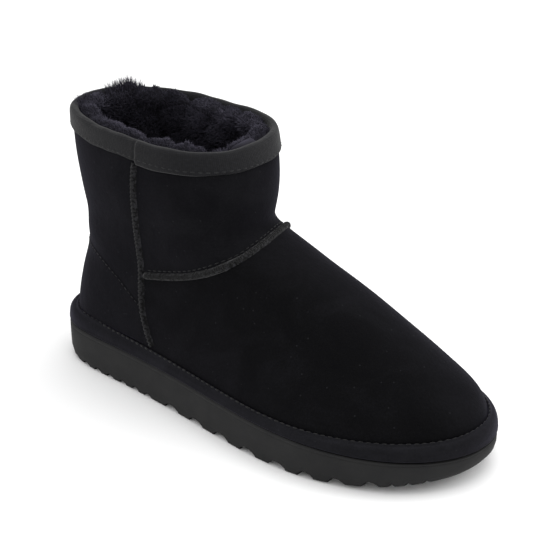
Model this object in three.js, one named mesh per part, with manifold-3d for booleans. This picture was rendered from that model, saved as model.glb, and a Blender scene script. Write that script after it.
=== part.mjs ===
// A sheepskin ankle boot for the right foot, in millimetres.
// +X runs from the heel to the toe, +Y to the inner side of the foot, +Z up from the floor.
import * as THREE from 'three';
import { mergeVertices } from 'three/addons/utils/BufferGeometryUtils.js';
import Module from 'manifold-3d';

const wasm = await Module();
wasm.setup();

// Driving dimensions
const soleLength = 270;         // outsole from heel to toe
const ballWidth = 104;          // nominal width across the ball
const heelThickness = 21.7;     // outsole under the heel
const toeThickness = 10.2;      // outsole at the tip of the toe
const toeSpring = 7.8;          // lift of the tread at the tip of the toe
const archLift = 1.8;           // lift of the tread under the inner arch
const heelBevel = 5;            // how far the tread's back edge is cut in under the heel
const toeBevel = 3;             // how far the tread's front edge is cut in under the toe
const treadEdge = 1.2;          // how far the tread is drawn in along the sides
const soleLip = 0.7;            // step under the lip that runs round the top of the outsole
const grooveDepth = 2.4;        // depth of the tread's grooves
const heelLugPitch = 10.6;      // spacing of the lugs under the heel
const soleLugPitch = 20.4;      // spacing of the lugs under the waist and forefoot
const ballLugPitch = 16.5;      // spacing of the lugs in front of the ball
const toeLugPitch = 6.4;        // spacing of the lugs under the toe
const collarHeight = 144.7;     // floor to the edge of the upper over the ankle
const collarDrop = 3;           // how much lower the collar is in front than behind
const upperInset = 2.8;         // outline of the upper inside that of the outsole
const upperWall = 2.3;          // sheepskin leather of the upper
const bandHeight = 10.5;        // covered band over the outsole, at the toe and heel
const bandProud = 0.7;          // band outside the edge of the outsole
const bindingDrop = 9.2;        // outer leg of the collar binding
const bindingTuck = 6;          // inner leg of the collar binding
const bindingWall = 1.3;        // folded tape of the binding
const counterWall = 1.2;        // heel counter overlay
const seamWidth = 5;            // raised butted seams of the upper
const seamHeight = 2.2;         // how proud the side seams stand
const vampSeamHeight = 2.9;     // how proud the seam over the instep stands
const pile = 6.4;               // wool of the lining
const pileRise = 1.5;           // top of the wool above the collar's edge
const lockLength = 6;           // locks of wool at the rim
const lockRadius = 2.1;         // root of one lock
const tuftLength = 8.5;         // longer locks at the inner back of the rim
const lockCount = 23;           // locks around the rim
const tuftCount = 6;            // longer locks in the tuft
const insoleThickness = 5;      // wool footbed
const gap = 0.3;                // clearance between neighbouring pieces
const overlayGap = 0.5;         // clearance under an overlay with facets of its own
const liningGap = 0.7;          // clearance behind the wool

// Outline of the outsole: half widths as shares of the ball width, at shares of the length.
const outlineRows = [
  { along: 0.015, lateral: 0.204, medial: 0.160 },
  { along: 0.060, lateral: 0.318, medial: 0.278 },
  { along: 0.130, lateral: 0.360, medial: 0.350 },
  { along: 0.240, lateral: 0.385, medial: 0.370 },
  { along: 0.380, lateral: 0.428, medial: 0.366 },
  { along: 0.520, lateral: 0.484, medial: 0.400 },
  { along: 0.630, lateral: 0.518, medial: 0.458 },
  { along: 0.740, lateral: 0.515, medial: 0.500 },
  { along: 0.840, lateral: 0.450, medial: 0.480 },
  { along: 0.915, lateral: 0.348, medial: 0.392 },
  { along: 0.965, lateral: 0.221, medial: 0.278 },
  { along: 0.992, lateral: 0.095, medial: 0.165 },
];
const tipShift = 0.03;          // toe tip towards the inner side, as a share of the ball width
const waist = 0.3;              // place along the boot where the sole starts to thin and the arch starts
const archEnd = 0.56;           // place along the boot where the arch ends
const archBlend = 0.1;          // length over which the arch rises and falls, as a share of the length
const springStart = 0.7;        // place along the boot where the toe spring starts

// Wall of the outsole from the tread (0) to its top (1), drawn in along the sides, at the heel and the toe.
const wallRows = [
  { rise: 0.00, side: treadEdge, heel: heelBevel, toe: toeBevel },
  { rise: 0.36, side: 0.3, heel: 0.6, toe: 0.6 },
  { rise: 0.62, side: 0, heel: 0, toe: 0 },
  { rise: 0.84, side: soleLip, heel: soleLip, toe: soleLip },
  { rise: 0.89, side: 0, heel: 0, toe: 0 },
  { rise: 1.00, side: 0, heel: 0, toe: 0 },
];

// Groups of grooves across the tread: start and end as shares of the length, and spacing.
const grooveRows = [
  { from: 0.066, to: 0.310, pitch: heelLugPitch },
  { from: 0.376, to: 0.690, pitch: soleLugPitch },
  { from: 0.743, to: 0.870, pitch: ballLugPitch },
  { from: 0.898, to: 0.952, pitch: toeLugPitch },
];
const grooveMouth = 0.62;       // width of a groove at the floor, as a share of its spacing
const grooveRoof = 0.3;         // width of a groove at its top

// Level contours of the upper, from the outsole (0) to the collar (1). The ends, the start of the
// rounded nose and the end of the rounded heel are shares of the length, the half widths of the ball width.
const levelRows = [
  { level: 0.00, back: 0.027, front: 0.976, nose: 0.640, heel: 0.140, lateral: 0.343, medial: 0.340 },
  { level: 0.06, back: 0.027, front: 0.981, nose: 0.630, heel: 0.140, lateral: 0.342, medial: 0.346 },
  { level: 0.13, back: 0.031, front: 0.972, nose: 0.582, heel: 0.150, lateral: 0.340, medial: 0.350 },
  { level: 0.22, back: 0.037, front: 0.914, nose: 0.508, heel: 0.170, lateral: 0.334, medial: 0.350 },
  { level: 0.32, back: 0.046, front: 0.827, nose: 0.438, heel: 0.190, lateral: 0.325, medial: 0.348 },
  { level: 0.43, back: 0.055, front: 0.726, nose: 0.380, heel: 0.210, lateral: 0.318, medial: 0.345 },
  { level: 0.54, back: 0.055, front: 0.584, nose: 0.322, heel: 0.230, lateral: 0.333, medial: 0.320 },
  { level: 0.60, back: 0.048, front: 0.503, nose: 0.300, heel: 0.238, lateral: 0.340, medial: 0.315 },
  { level: 0.65, back: 0.042, front: 0.476, nose: 0.292, heel: 0.244, lateral: 0.347, medial: 0.328 },
  { level: 0.72, back: 0.034, front: 0.481, nose: 0.298, heel: 0.250, lateral: 0.355, medial: 0.347 },
  { level: 0.84, back: 0.021, front: 0.482, nose: 0.306, heel: 0.256, lateral: 0.364, medial: 0.370 },
  { level: 1.00, back: 0.010, front: 0.458, nose: 0.314, heel: 0.260, lateral: 0.350, medial: 0.408 },
];
const footFullness = 2.6;       // exponent of the rounded ends of the foot: 2 is an ellipse, more is fuller
const collarFullness = 2.25;    // the same at the collar
const footLevel = 0.2;          // below this the contours grow out of the outsole's own outline
const shaftLevel = 0.5;         // above this the half widths are those of the shaft
const swingStart = 0.45;        // place along the boot where the foot starts to swing to the inner side
const noseShare = 0.36;         // share of a contour's points spent on the rounded nose
const heelShare = 0.68;         // share of a contour's points before the rounded heel

// Height of the band at shares of the length, as shares of its full height.
const bandRows = [
  { along: 0.00, height: 1.00 },
  { along: 0.10, height: 0.98 },
  { along: 0.25, height: 0.80 },
  { along: 0.45, height: 0.62 },
  { along: 0.65, height: 0.58 },
  { along: 0.85, height: 0.76 },
  { along: 1.00, height: 1.02 },
];

// Section of the band from its foot (0) to its top (1), reaching from the upper (0) to the outer edge (1).
const bandSection = [
  { part: 0.00, reach: 0.90 },
  { part: 0.22, reach: 1.00 },
  { part: 0.55, reach: 0.96 },
  { part: 0.82, reach: 0.74 },
  { part: 0.97, reach: 0.38 },
];

// Place of the side seams along the boot at each level, as a share of the length.
const sideSeamRows = [
  { level: 0.00, along: 0.332 },
  { level: 0.07, along: 0.317 },
  { level: 0.16, along: 0.292 },
  { level: 0.25, along: 0.278 },
  { level: 0.38, along: 0.271 },
  { level: 0.55, along: 0.267 },
  { level: 0.74, along: 0.268 },
  { level: 1.00, along: 0.280 },
];

// Level of the seam over the instep, from the middle of the front (0) to a side seam (1), on both sides.
const vampSeamRows = [
  { around: 0.00, lateral: 0.606, medial: 0.606 },
  { around: 0.13, lateral: 0.596, medial: 0.613 },
  { around: 0.32, lateral: 0.568, medial: 0.595 },
  { around: 0.51, lateral: 0.530, medial: 0.548 },
  { around: 0.71, lateral: 0.470, medial: 0.480 },
  { around: 0.85, lateral: 0.426, medial: 0.430 },
  { around: 1.00, lateral: 0.386, medial: 0.386 },
];

// Top of the heel counter, from the middle of the back (0) to a side seam (1).
const counterRows = [
  { around: 0.00, level: 0.432 },
  { around: 0.34, level: 0.430 },
  { around: 0.58, level: 0.416 },
  { around: 0.74, level: 0.366 },
  { around: 0.88, level: 0.303 },
  { around: 1.00, level: 0.235 },
];

const smooth = (t) => {
  const c = THREE.MathUtils.clamp(t, 0, 1);
  return c * c * (3 - 2 * c);
};
const mix = THREE.MathUtils.lerp;

// Monotone cubic through the rows of a table: value of one named column at a place in another.
function column(rows, key, name) {
  const x = rows.map((row) => row[key]);
  const y = rows.map((row) => row[name]);
  const last = x.length - 1;
  const step = x.slice(1).map((end, i) => (y[i + 1] - y[i]) / (end - x[i]));
  const slope = y.map((_, i) => {
    if (i === 0) return step[0];
    if (i === last) return step[last - 1];
    return step[i - 1] * step[i] > 0 ? 2 / (1 / step[i - 1] + 1 / step[i]) : 0;
  });
  return (at) => {
    const c = THREE.MathUtils.clamp(at, x[0], x[last]);
    let i = 0;
    while (i < last - 1 && c > x[i + 1]) i++;
    const width = x[i + 1] - x[i];
    const t = (c - x[i]) / width;
    const s = 1 - t;
    return y[i] * s * s * (1 + 2 * t) + y[i + 1] * t * t * (3 - 2 * t)
      + width * t * s * (slope[i] * s - slope[i + 1] * t);
  };
}

const levelColumns = ['back', 'front', 'nose', 'heel', 'lateral', 'medial'];
const levelAt = Object.fromEntries(levelColumns.map((name) => [name, column(levelRows, 'level', name)]));
const bandHeightAt = column(bandRows, 'along', 'height');
const sideSeamAt = column(sideSeamRows, 'level', 'along');
const vampSeamAt = {
  lateral: column(vampSeamRows, 'around', 'lateral'),
  medial: column(vampSeamRows, 'around', 'medial'),
};
const counterTopAt = column(counterRows, 'around', 'level');
const outlineWidthAt = {
  lateral: column(outlineRows, 'along', 'lateral'),
  medial: column(outlineRows, 'along', 'medial'),
};

// Heights along the boot: top of the outsole, tread, and edge of the collar.
const beyond = (x, start) => THREE.MathUtils.clamp((x / soleLength - start) / (1 - start), 0, 1);
const platform = (x) => mix(heelThickness, toeThickness + toeSpring, smooth(beyond(x, waist)));
const treadRise = (x) => toeSpring * beyond(x, springStart) ** 2;
const shaftCentre = 0.26;
const shaftShare = 0.43;
const collar = (x) => collarHeight - collarDrop * (x / soleLength - shaftCentre) / shaftShare;

// The outsole's outline, drawn in by an inset, as two halves from heel to toe.
function outlineHalves(inset) {
  const half = (side, name) => outlineRows.map(
    (row) => new THREE.Vector3(row.along * soleLength, side * row[name] * ballWidth, 0));
  const heel = new THREE.Vector3(0, 0, 0);
  const toe = new THREE.Vector3(soleLength, tipShift * ballWidth, 0);
  const corners = [heel, ...half(-1, 'lateral'), toe, ...half(1, 'medial').reverse()];
  const curve = new THREE.CatmullRomCurve3(corners, true, 'centripetal');
  const count = 480;
  const points = [];
  for (let i = 0; i < count; i++) {
    const tangent = curve.getTangent(i / count);
    const outward = new THREE.Vector3(tangent.y, -tangent.x, 0).normalize();
    points.push(curve.getPoint(i / count).addScaledVector(outward, -inset));
  }
  const byX = (a, b) => points[a].x - points[b].x;
  const order = points.map((_, i) => i).sort(byX);
  const first = order[0];
  const tip = order[count - 1];
  const walk = (from, to, turn) => {
    const arc = [];
    for (let i = from; i !== to; i = (i + turn + count) % count) arc.push(points[i]);
    arc.push(points[to]);
    return arc;
  };
  return {
    back: points[first].x,
    front: points[tip].x,
    lateral: walk(first, tip, 1),
    medial: walk(first, tip, -1),
  };
}
const halvesCache = new Map();
function outlineY(inset, side, share) {
  if (!halvesCache.has(inset)) halvesCache.set(inset, outlineHalves(inset));
  const halves = halvesCache.get(inset);
  const arc = side < 0 ? halves.lateral : halves.medial;
  const x = mix(halves.back, halves.front, share);
  let low = 0;
  let high = arc.length - 1;
  while (high - low > 1) {
    const middle = (low + high) >> 1;
    if (arc[middle].x <= x) low = middle;
    else high = middle;
  }
  const t = THREE.MathUtils.clamp((x - arc[low].x) / (arc[high].x - arc[low].x || 1), 0, 1);
  return mix(arc[low].y, arc[high].y, t);
}

// One level contour of the upper's outer face, as two halves from the front to the back.
const ovalSteps = 180;
const fullWidthStart = outlineRows[2].along;
const fullWidthEnd = outlineRows[8].along;
const toeNarrowing = 0.3;
function footHalfWidth(name, along) {
  const c = THREE.MathUtils.clamp(along, fullWidthStart, fullWidthEnd);
  const fade = 1 - toeNarrowing * Math.max(0, along - c);
  return (outlineWidthAt[name](c) * ballWidth - upperInset) * fade;
}
function contour(level) {
  const row = Object.fromEntries(levelColumns.map((name) => [name, levelAt[name](level)]));
  const power = 2 / mix(footFullness, collarFullness, level);
  const halves = {};
  for (const [side, name] of [[-1, 'lateral'], [1, 'medial']]) {
    const points = [];
    for (let i = 0; i <= ovalSteps; i++) {
      const turn = i / ovalSteps;
      let along;
      let spread = 1;
      if (turn <= noseShare) {
        const angle = turn / noseShare * Math.PI / 2;
        along = mix(row.nose, row.front, Math.cos(angle) ** power);
        spread = Math.sin(angle) ** power;
      } else if (turn >= heelShare) {
        const angle = (turn - heelShare) / (1 - heelShare) * Math.PI / 2;
        along = mix(row.heel, row.back, Math.sin(angle) ** power);
        spread = Math.max(Math.cos(angle), 0) ** power;
      } else {
        along = mix(row.nose, row.heel, (turn - noseShare) / (heelShare - noseShare));
      }
      const width = mix(footHalfWidth(name, along), row[name] * ballWidth, smooth(level / shaftLevel));
      const swing = tipShift * ballWidth * smooth((along - swingStart) / (1 - swingStart));
      const share = (along - row.back) / (row.front - row.back);
      const footY = outlineY(upperInset, side, share);
      const y = mix(footY, side * width * spread + swing, smooth(level / footLevel));
      const previous = points[i - 1];
      const x = along * soleLength;
      const run = previous ? previous.run + Math.hypot(x - previous.x, y - previous.y) : 0;
      points.push({ x, y, share, run });
    }
    halves[side] = points;
  }
  return halves;
}
const contourCache = new Map();
function contourAt(level) {
  if (!contourCache.has(level)) contourCache.set(level, contour(level));
  return contourCache.get(level);
}

// A point of a contour: around goes from -1 (back) over the outer side to 0 (front) and on to 1 (back).
function onContour(around, level) {
  const wrapped = around > 1 ? around - 2 : around < -1 ? around + 2 : around;
  const points = contourAt(level)[wrapped < 0 ? -1 : 1];
  const run = Math.abs(wrapped) * points[ovalSteps].run;
  let low = 0;
  let high = ovalSteps;
  while (high - low > 1) {
    const middle = (low + high) >> 1;
    if (points[middle].run <= run) low = middle;
    else high = middle;
  }
  const t = (run - points[low].run) / (points[high].run - points[low].run);
  const at = (key) => mix(points[low][key], points[high][key], t);
  return { x: at('x'), y: at('y'), share: at('share'), length: points[ovalSteps].run };
}

// The upper's outer face, its outward normal, and a parallel face at a distance from it.
function skin(around, level) {
  const { x, y } = onContour(around, THREE.MathUtils.clamp(level, 0, 1));
  return new THREE.Vector3(x, y, mix(platform(x), collar(x), level));
}
function skinNormal(around, level) {
  const step = 0.012;
  const mid = THREE.MathUtils.clamp(level, step, 1 - step);
  const along = skin(around + step, mid).sub(skin(around - step, mid));
  const rise = skin(around, mid + step).sub(skin(around, mid - step));
  return along.cross(rise).normalize();
}
const levelEnds = 0.1;          // within this of the first and last level the offset turns horizontal
function shell(around, level, distance) {
  const normal = skinNormal(around, level);
  const upright = smooth(1 - Math.min(level, 1 - level) / levelEnds);
  const direction = new THREE.Vector3(normal.x, normal.y, normal.z * (1 - upright)).normalize();
  return skin(around, level).addScaledVector(direction, distance / direction.dot(normal));
}

// The level that lies a height above the outsole, or a drop below the collar, at a place around.
function levelAbove(around, height) {
  let level = 0.05;
  for (let i = 0; i < 3; i++) {
    const { x } = onContour(around, level);
    level = THREE.MathUtils.clamp(height / (collar(x) - platform(x)), 0, 1);
  }
  return level;
}
function levelBelowCollar(around, drop) {
  const { x } = onContour(around, 1);
  return 1 - drop / (collar(x) - platform(x));
}

// The columns of every ring: closer together round the toe and the heel.
const columnCount = 50;
const crowding = 0.35;
const columns = [];
for (let i = 0; i < columnCount; i++) {
  const turn = 2 * i / columnCount - 1;
  const share = Math.abs(turn);
  const crowded = share - crowding * Math.sin(2 * Math.PI * share) / (2 * Math.PI);
  columns.push(Math.sign(turn) * crowded);
}

// Closed skins from rings and grids of points
function solid(points, triangles) {
  let volume = 0;
  for (const [a, b, c] of triangles) {
    volume += points[a].dot(new THREE.Vector3().crossVectors(points[b], points[c]));
  }
  const index = triangles.flatMap(([a, b, c]) => (volume < 0 ? [a, c, b] : [a, b, c]));
  const geometry = new THREE.BufferGeometry().setFromPoints(points);
  geometry.setIndex(index);
  return geometry;
}
function quads(triangles, a, b, c, d) {
  triangles.push([a, b, c], [a, c, d]);
}
// A ring of sections: each section is a closed loop, and the last joins the first.
function hoop(sections) {
  const size = sections[0].length;
  const triangles = [];
  sections.forEach((_, i) => {
    const next = (i + 1) % sections.length;
    for (let k = 0; k < size; k++) {
      const turn = (k + 1) % size;
      quads(triangles, i * size + k, next * size + k, next * size + turn, i * size + turn);
    }
  });
  return solid(sections.flat(), triangles);
}
// A rod of sections with a flat end on each.
function rod(sections) {
  const size = sections[0].length;
  const triangles = [];
  for (let i = 0; i + 1 < sections.length; i++) {
    for (let k = 0; k < size; k++) {
      const turn = (k + 1) % size;
      quads(triangles, i * size + k, (i + 1) * size + k, (i + 1) * size + turn, i * size + turn);
    }
  }
  const last = (sections.length - 1) * size;
  for (let k = 1; k + 1 < size; k++) {
    triangles.push([0, k, k + 1], [last, last + k + 1, last + k]);
  }
  return solid(sections.flat(), triangles);
}
// A slab between two grids with the same rows and columns.
function slab(outer, inner) {
  const rows = outer.length;
  const size = outer[0].length;
  const triangles = [];
  const second = rows * size;
  for (let i = 0; i + 1 < rows; i++) {
    for (let k = 0; k + 1 < size; k++) {
      const a = i * size + k;
      quads(triangles, a, a + 1, a + size + 1, a + size);
      quads(triangles, second + a, second + a + size, second + a + size + 1, second + a + 1);
    }
  }
  const top = (rows - 1) * size;
  for (let k = 0; k + 1 < size; k++) {
    quads(triangles, k, second + k, second + k + 1, k + 1);
    quads(triangles, top + k, top + k + 1, second + top + k + 1, second + top + k);
  }
  for (let i = 0; i + 1 < rows; i++) {
    const a = i * size;
    const b = a + size - 1;
    quads(triangles, a, a + size, second + a + size, second + a);
    quads(triangles, b, second + b, second + b + size, b + size);
  }
  return solid([...outer.flat(), ...inner.flat()], triangles);
}
// A thick plate from rings, closed above and below by strips from the outer to the inner side.
function plate(rings) {
  const size = rings[0].length;
  const triangles = [];
  for (let i = 0; i + 1 < rings.length; i++) {
    for (let k = 0; k < size; k++) {
      const turn = (k + 1) % size;
      quads(triangles, i * size + k, i * size + turn, (i + 1) * size + turn, (i + 1) * size + k);
    }
  }
  const cap = (start, flip) => {
    for (let k = 0; k < size / 2; k++) {
      const corners = [k, k + 1, (size - k - 1) % size, (size - k) % size];
      const distinct = corners.filter((corner, i) => corners.indexOf(corner) === i);
      for (let j = 1; j + 1 < distinct.length; j++) {
        const face = [distinct[0], distinct[j], distinct[j + 1]].map((corner) => start + corner);
        triangles.push(flip ? face.reverse() : face);
      }
    }
  };
  cap(0, true);
  cap((rings.length - 1) * size, false);
  return solid(rings.flat(), triangles);
}

// Joining and cutting
function toManifold(geometry) {
  const vertProperties = new Float32Array(geometry.getAttribute('position').array);
  const triVerts = new Uint32Array(geometry.getIndex().array);
  return new wasm.Manifold(new wasm.Mesh({ numProp: 3, vertProperties, triVerts }));
}
function fromManifold(body) {
  const { vertProperties, triVerts } = body.getMesh();
  const geometry = new THREE.BufferGeometry();
  geometry.setAttribute('position', new THREE.BufferAttribute(vertProperties, 3));
  geometry.setIndex(new THREE.BufferAttribute(triVerts, 1));
  return geometry;
}

// The outsole: rings of its outline from the tread to the top, with grooves cut across below.
function treadHeight(x, y) {
  const along = x / soleLength;
  const arch = smooth((along - waist) / archBlend) * smooth((archEnd - along) / archBlend);
  const inner = smooth(y / ballWidth + 0.5);
  return treadRise(x) + archLift * arch * inner;
}
function outsoleGeometry() {
  const rings = wallRows.map((row) => columns.map((around) => {
    const { share } = onContour(around, 0);
    const x = mix(row.heel, soleLength - row.toe, share);
    const y = outlineY(row.side, around < 0 ? -1 : 1, share);
    return new THREE.Vector3(x, y, mix(treadHeight(x, y), platform(x), row.rise));
  }));
  let body = toManifold(plate(rings));
  for (const { from, to, pitch } of grooveRows) {
    for (let x = from * soleLength; x < to * soleLength; x += pitch) {
      const floor = -grooveDepth;
      const roof = treadRise(x) + grooveDepth;
      const profile = new THREE.Shape([
        new THREE.Vector2(x - pitch * grooveMouth / 2, floor),
        new THREE.Vector2(x + pitch * grooveMouth / 2, floor),
        new THREE.Vector2(x + pitch * grooveRoof / 2, roof),
        new THREE.Vector2(x - pitch * grooveRoof / 2, roof),
      ]);
      const prism = new THREE.ExtrudeGeometry(profile, { depth: 2 * ballWidth, bevelEnabled: false });
      prism.rotateX(Math.PI / 2);
      prism.translate(0, ballWidth, 0);
      body = body.subtract(toManifold(welded(prism)));
    }
  }
  return fromManifold(body);
}
function welded(geometry) {
  const bare = new THREE.BufferGeometry();
  bare.setAttribute('position', geometry.getAttribute('position'));
  if (geometry.getIndex()) bare.setIndex(geometry.getIndex());
  return mergeVertices(bare);
}

// The upper: outer face up to the collar, then the inner face down again.
const outerLevels = [
  0, 0.05, 0.1, 0.15, 0.2, 0.26, 0.32, 0.39, 0.46, 0.53, 0.57, 0.6, 0.625, 0.65, 0.675, 0.73, 0.82, 0.91, 1,
];
const innerLevels = [1, 0.95, 0.88, 0.8, 0.68, 0.64, 0.6, 0.55, 0.48, 0.41, 0.32, 0.22, 0.13, 0.06, 0];
function upperGeometry() {
  const sections = columns.map((around) => {
    const foot = levelAbove(around, gap);
    const place = (level, distance) => shell(around, Math.max(level, foot), distance);
    return [
      ...outerLevels.map((level) => place(level, 0)),
      ...innerLevels.map((level) => place(level, -upperWall)),
    ];
  });
  return hoop(sections);
}

// The covered band that closes the joint between upper and outsole: a rounded section round the foot.
const bandTop = (around) => bandHeight * bandHeightAt(onContour(around, 0).x / soleLength);
function bandGeometry() {
  const sections = columns.map((around) => {
    const height = bandTop(around);
    const { share } = onContour(around, 0);
    const edgeX = mix(-bandProud, soleLength + bandProud, share);
    const edgeY = outlineY(-bandProud, around < 0 ? -1 : 1, share);
    const inside = (rise) => shell(around, levelAbove(around, rise), gap);
    const outside = bandSection.map(({ part, reach }) => {
      const base = inside(mix(gap, height, part));
      const edge = new THREE.Vector3(edgeX, edgeY, base.z);
      return base.lerp(edge, reach);
    });
    return [inside(height), inside((gap + height) / 2), inside(gap), ...outside];
  });
  return hoop(sections);
}

// The binding folded over the collar's edge: outer leg, rounded top, inner leg.
const crownShare = 0.28;        // how far the flat of the folded top starts from each face
function bindingGeometry() {
  const sections = columns.map((around) => {
    const place = (drop, distance) => {
      const point = shell(around, levelBelowCollar(around, Math.max(drop, 0)), distance);
      point.z += Math.max(-drop, 0);
      return point;
    };
    const outer = gap + bindingWall;
    const inner = -upperWall - gap - bindingWall;
    const crown = -gap - bindingWall;
    return [
      place(bindingDrop, outer),
      place(bindingDrop / 2, outer),
      place(0, outer),
      place(crown, mix(outer, inner, crownShare)),
      place(crown, mix(inner, outer, crownShare)),
      place(0, inner),
      place(bindingTuck, inner),
      place(bindingTuck, -upperWall - gap),
      place(-gap, -upperWall - gap),
      place(-gap, gap),
      place(bindingDrop / 2, gap),
      place(bindingDrop, gap),
    ];
  });
  return hoop(sections);
}

// The place around of a side seam at a level, found from its place along the boot.
function seamAround(side, level) {
  const x = sideSeamAt(level) * soleLength;
  let low = 0;
  let high = 1;
  for (let i = 0; i < 24; i++) {
    const middle = (low + high) / 2;
    if (onContour(side * middle, level).x > x) low = middle;
    else high = middle;
  }
  return side * low;
}

// Neighbours end this share of a seam's width from its middle, which is a little over half as it leans.
const seamClear = 0.62;

// A raised seam along a path over the upper: low at its edges, rounded on top.
const seamShoulder = 0.85;      // shoulder of its section, as a share of the half width
const shoulderRise = 0.62;      // height of the shoulder, as a share of the seam's height
function seamGeometry(path, height) {
  const half = seamWidth / 2;
  const sections = path.map(([around, level], i) => {
    const before = skin(...path[Math.max(i - 1, 0)]);
    const after = skin(...path[Math.min(i + 1, path.length - 1)]);
    const run = after.sub(before).normalize();
    const normal = skinNormal(around, level);
    const sideways = new THREE.Vector3().crossVectors(normal, run).normalize();
    const step = 0.01;
    const alongAround = skin(around + step, level).sub(skin(around - step, level)).divideScalar(2 * step);
    const alongLevel = skin(around, level + step).sub(skin(around, level - step)).divideScalar(2 * step);
    const solve = (offset) => {
      const target = sideways.clone().multiplyScalar(offset);
      const aa = alongAround.dot(alongAround);
      const al = alongAround.dot(alongLevel);
      const ll = alongLevel.dot(alongLevel);
      const ta = target.dot(alongAround);
      const tl = target.dot(alongLevel);
      const scale = aa * ll - al * al;
      return [around + (ta * ll - tl * al) / scale, level + (tl * aa - ta * al) / scale];
    };
    const point = (offset, rise) => {
      const [a, l] = solve(offset);
      return skin(a, l).addScaledVector(skinNormal(a, l), rise);
    };
    return [
      point(-half, overlayGap),
      point(-half * seamShoulder, height * shoulderRise),
      point(0, height),
      point(half * seamShoulder, height * shoulderRise),
      point(half, overlayGap),
      point(0, overlayGap),
    ];
  });
  return rod(sections);
}
// A leaning seam's square end dips this much below its middle.
const seamLean = seamWidth * 0.35;
function sideSeamGeometry(side) {
  const rows = 17;
  const path = [];
  const foot = seamAround(side, 0);
  const bottom = levelAbove(foot, bandTop(foot) + gap + seamLean);
  const top = levelBelowCollar(seamAround(side, 1), bindingDrop + gap + seamLean / 2);
  for (let i = 0; i <= rows; i++) {
    const level = mix(bottom, top, i / rows);
    path.push([seamAround(side, level), level]);
  }
  return seamGeometry(path, seamHeight);
}
function vampSeamGeometry() {
  const steps = 30;
  const path = [];
  for (let i = 0; i <= steps; i++) {
    const turn = 2 * i / steps - 1;
    const side = turn < 0 ? -1 : 1;
    const level = vampSeamAt[side < 0 ? 'lateral' : 'medial'](Math.abs(turn));
    const end = Math.abs(seamAround(side, level));
    const clear = (seamWidth * seamClear + gap) / onContour(side * 0.5, level).length;
    path.push([turn * (end - clear), level]);
  }
  return seamGeometry(path, vampSeamHeight);
}

// The heel counter, a second layer round the back between the two side seams.
const counterSide = 0.8;        // place around where the height of the counter's lower edge is taken
function counterGeometry() {
  const rows = 6;
  const steps = 26;
  const grid = (distance) => {
    const lines = [];
    for (let j = 0; j <= rows; j++) {
      const line = [];
      for (let i = 0; i <= steps; i++) {
        const turn = 2 * i / steps - 1;
        const side = turn < 0 ? -1 : 1;
        const low = levelAbove(side * counterSide, bandHeight + gap * 2);
        const level = mix(low, counterTopAt(Math.abs(turn)), j / rows);
        const edge = Math.abs(seamAround(side, level));
        const clear = (seamWidth * seamClear + gap) / onContour(side * 0.5, level).length;
        line.push(shell(side * mix(1, edge + clear, Math.abs(turn)), level, distance));
      }
      lines.push(line);
    }
    return lines;
  };
  return slab(grid(overlayGap + counterWall), grid(overlayGap));
}

// The footbed, inside the upper on the outsole.
const insoleEdge = 0.8;         // rounding of the footbed's top edge
function insoleGeometry() {
  const ring = (rise, inset) => columns.map((around) => {
    const point = shell(around, levelAbove(around, rise), -upperWall - overlayGap - inset);
    point.z = platform(point.x) + rise;
    return point;
  });
  return plate([ring(gap, 0), ring(insoleThickness - insoleEdge, 0), ring(insoleThickness, insoleEdge)]);
}

// The wool lining: a thick sleeve of pile with a lumpy face and locks at its rim.
const backingLevels = innerLevels.filter((level) => level > levelEnds);
const pileLevels = [0.16, 0.3, 0.43, 0.53, 0.59, 0.63, 0.67, 0.74, 0.86, 1];
const lumpWaves = [
  { size: 0.16, around: 9, level: 5 },
  { size: 0.14, around: -4, level: 17 },
  { size: 0.10, around: 15, level: 23 },
];
const lump = (around, level) => lumpWaves.reduce(
  (sum, wave) => sum + wave.size * Math.sin(wave.around * Math.PI * around + wave.level * level), 0);
const footPile = 0.62;          // thickness of the pile at the foot, as a share of that in the shaft
const fullPileLevel = 0.35;     // level above which the pile has its full thickness
function liningPoint(around, level, depth) {
  const tucked = levelBelowCollar(around, bindingTuck * 1.2);
  const clear = levelBelowCollar(around, bindingTuck * 2.5);
  const underBinding = smooth((level - clear) / (tucked - clear));
  const outer = upperWall + liningGap + underBinding * (bindingWall + gap);
  const thickness = pile * (1 + lump(around, level)) * mix(footPile, 1, smooth(level / fullPileLevel));
  return shell(around, level, -outer - depth * thickness);
}
function liningFoot(around, depth) {
  const point = liningPoint(around, levelAbove(around, insoleThickness + gap * 2), depth);
  point.z = platform(point.x) + insoleThickness + gap;
  return point;
}

// A tapered lock of wool standing on the lining's rim.
const lockLevel = 0.985;
const lockDepth = 0.55;         // how deep in the pile a lock stands, as a share of its thickness
const lockTaper = [1, 1.05, 0.8, 0.3];
function lockGeometry(around, length, lean, turn) {
  const root = liningPoint(around, lockLevel, lockDepth);
  const inward = liningPoint(around, lockLevel, 1).sub(root).setZ(0).normalize();
  const sideways = new THREE.Vector3(-inward.y, inward.x, 0);
  const sections = lockTaper.map((size, i) => {
    const t = i / (lockTaper.length - 1);
    const centre = root.clone();
    centre.z += mix(-lockRadius, length, t);
    centre.addScaledVector(inward, lean * length * t * t);
    centre.addScaledVector(sideways, turn * length * t * t);
    return [0, 1, 2, 3].map((k) => {
      const angle = (k / 2 + around) * Math.PI;
      const offset = inward.clone().multiplyScalar(Math.cos(angle) * lockRadius * size);
      return centre.clone().add(offset.addScaledVector(sideways, Math.sin(angle) * lockRadius * size));
    });
  });
  return rod(sections);
}
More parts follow.
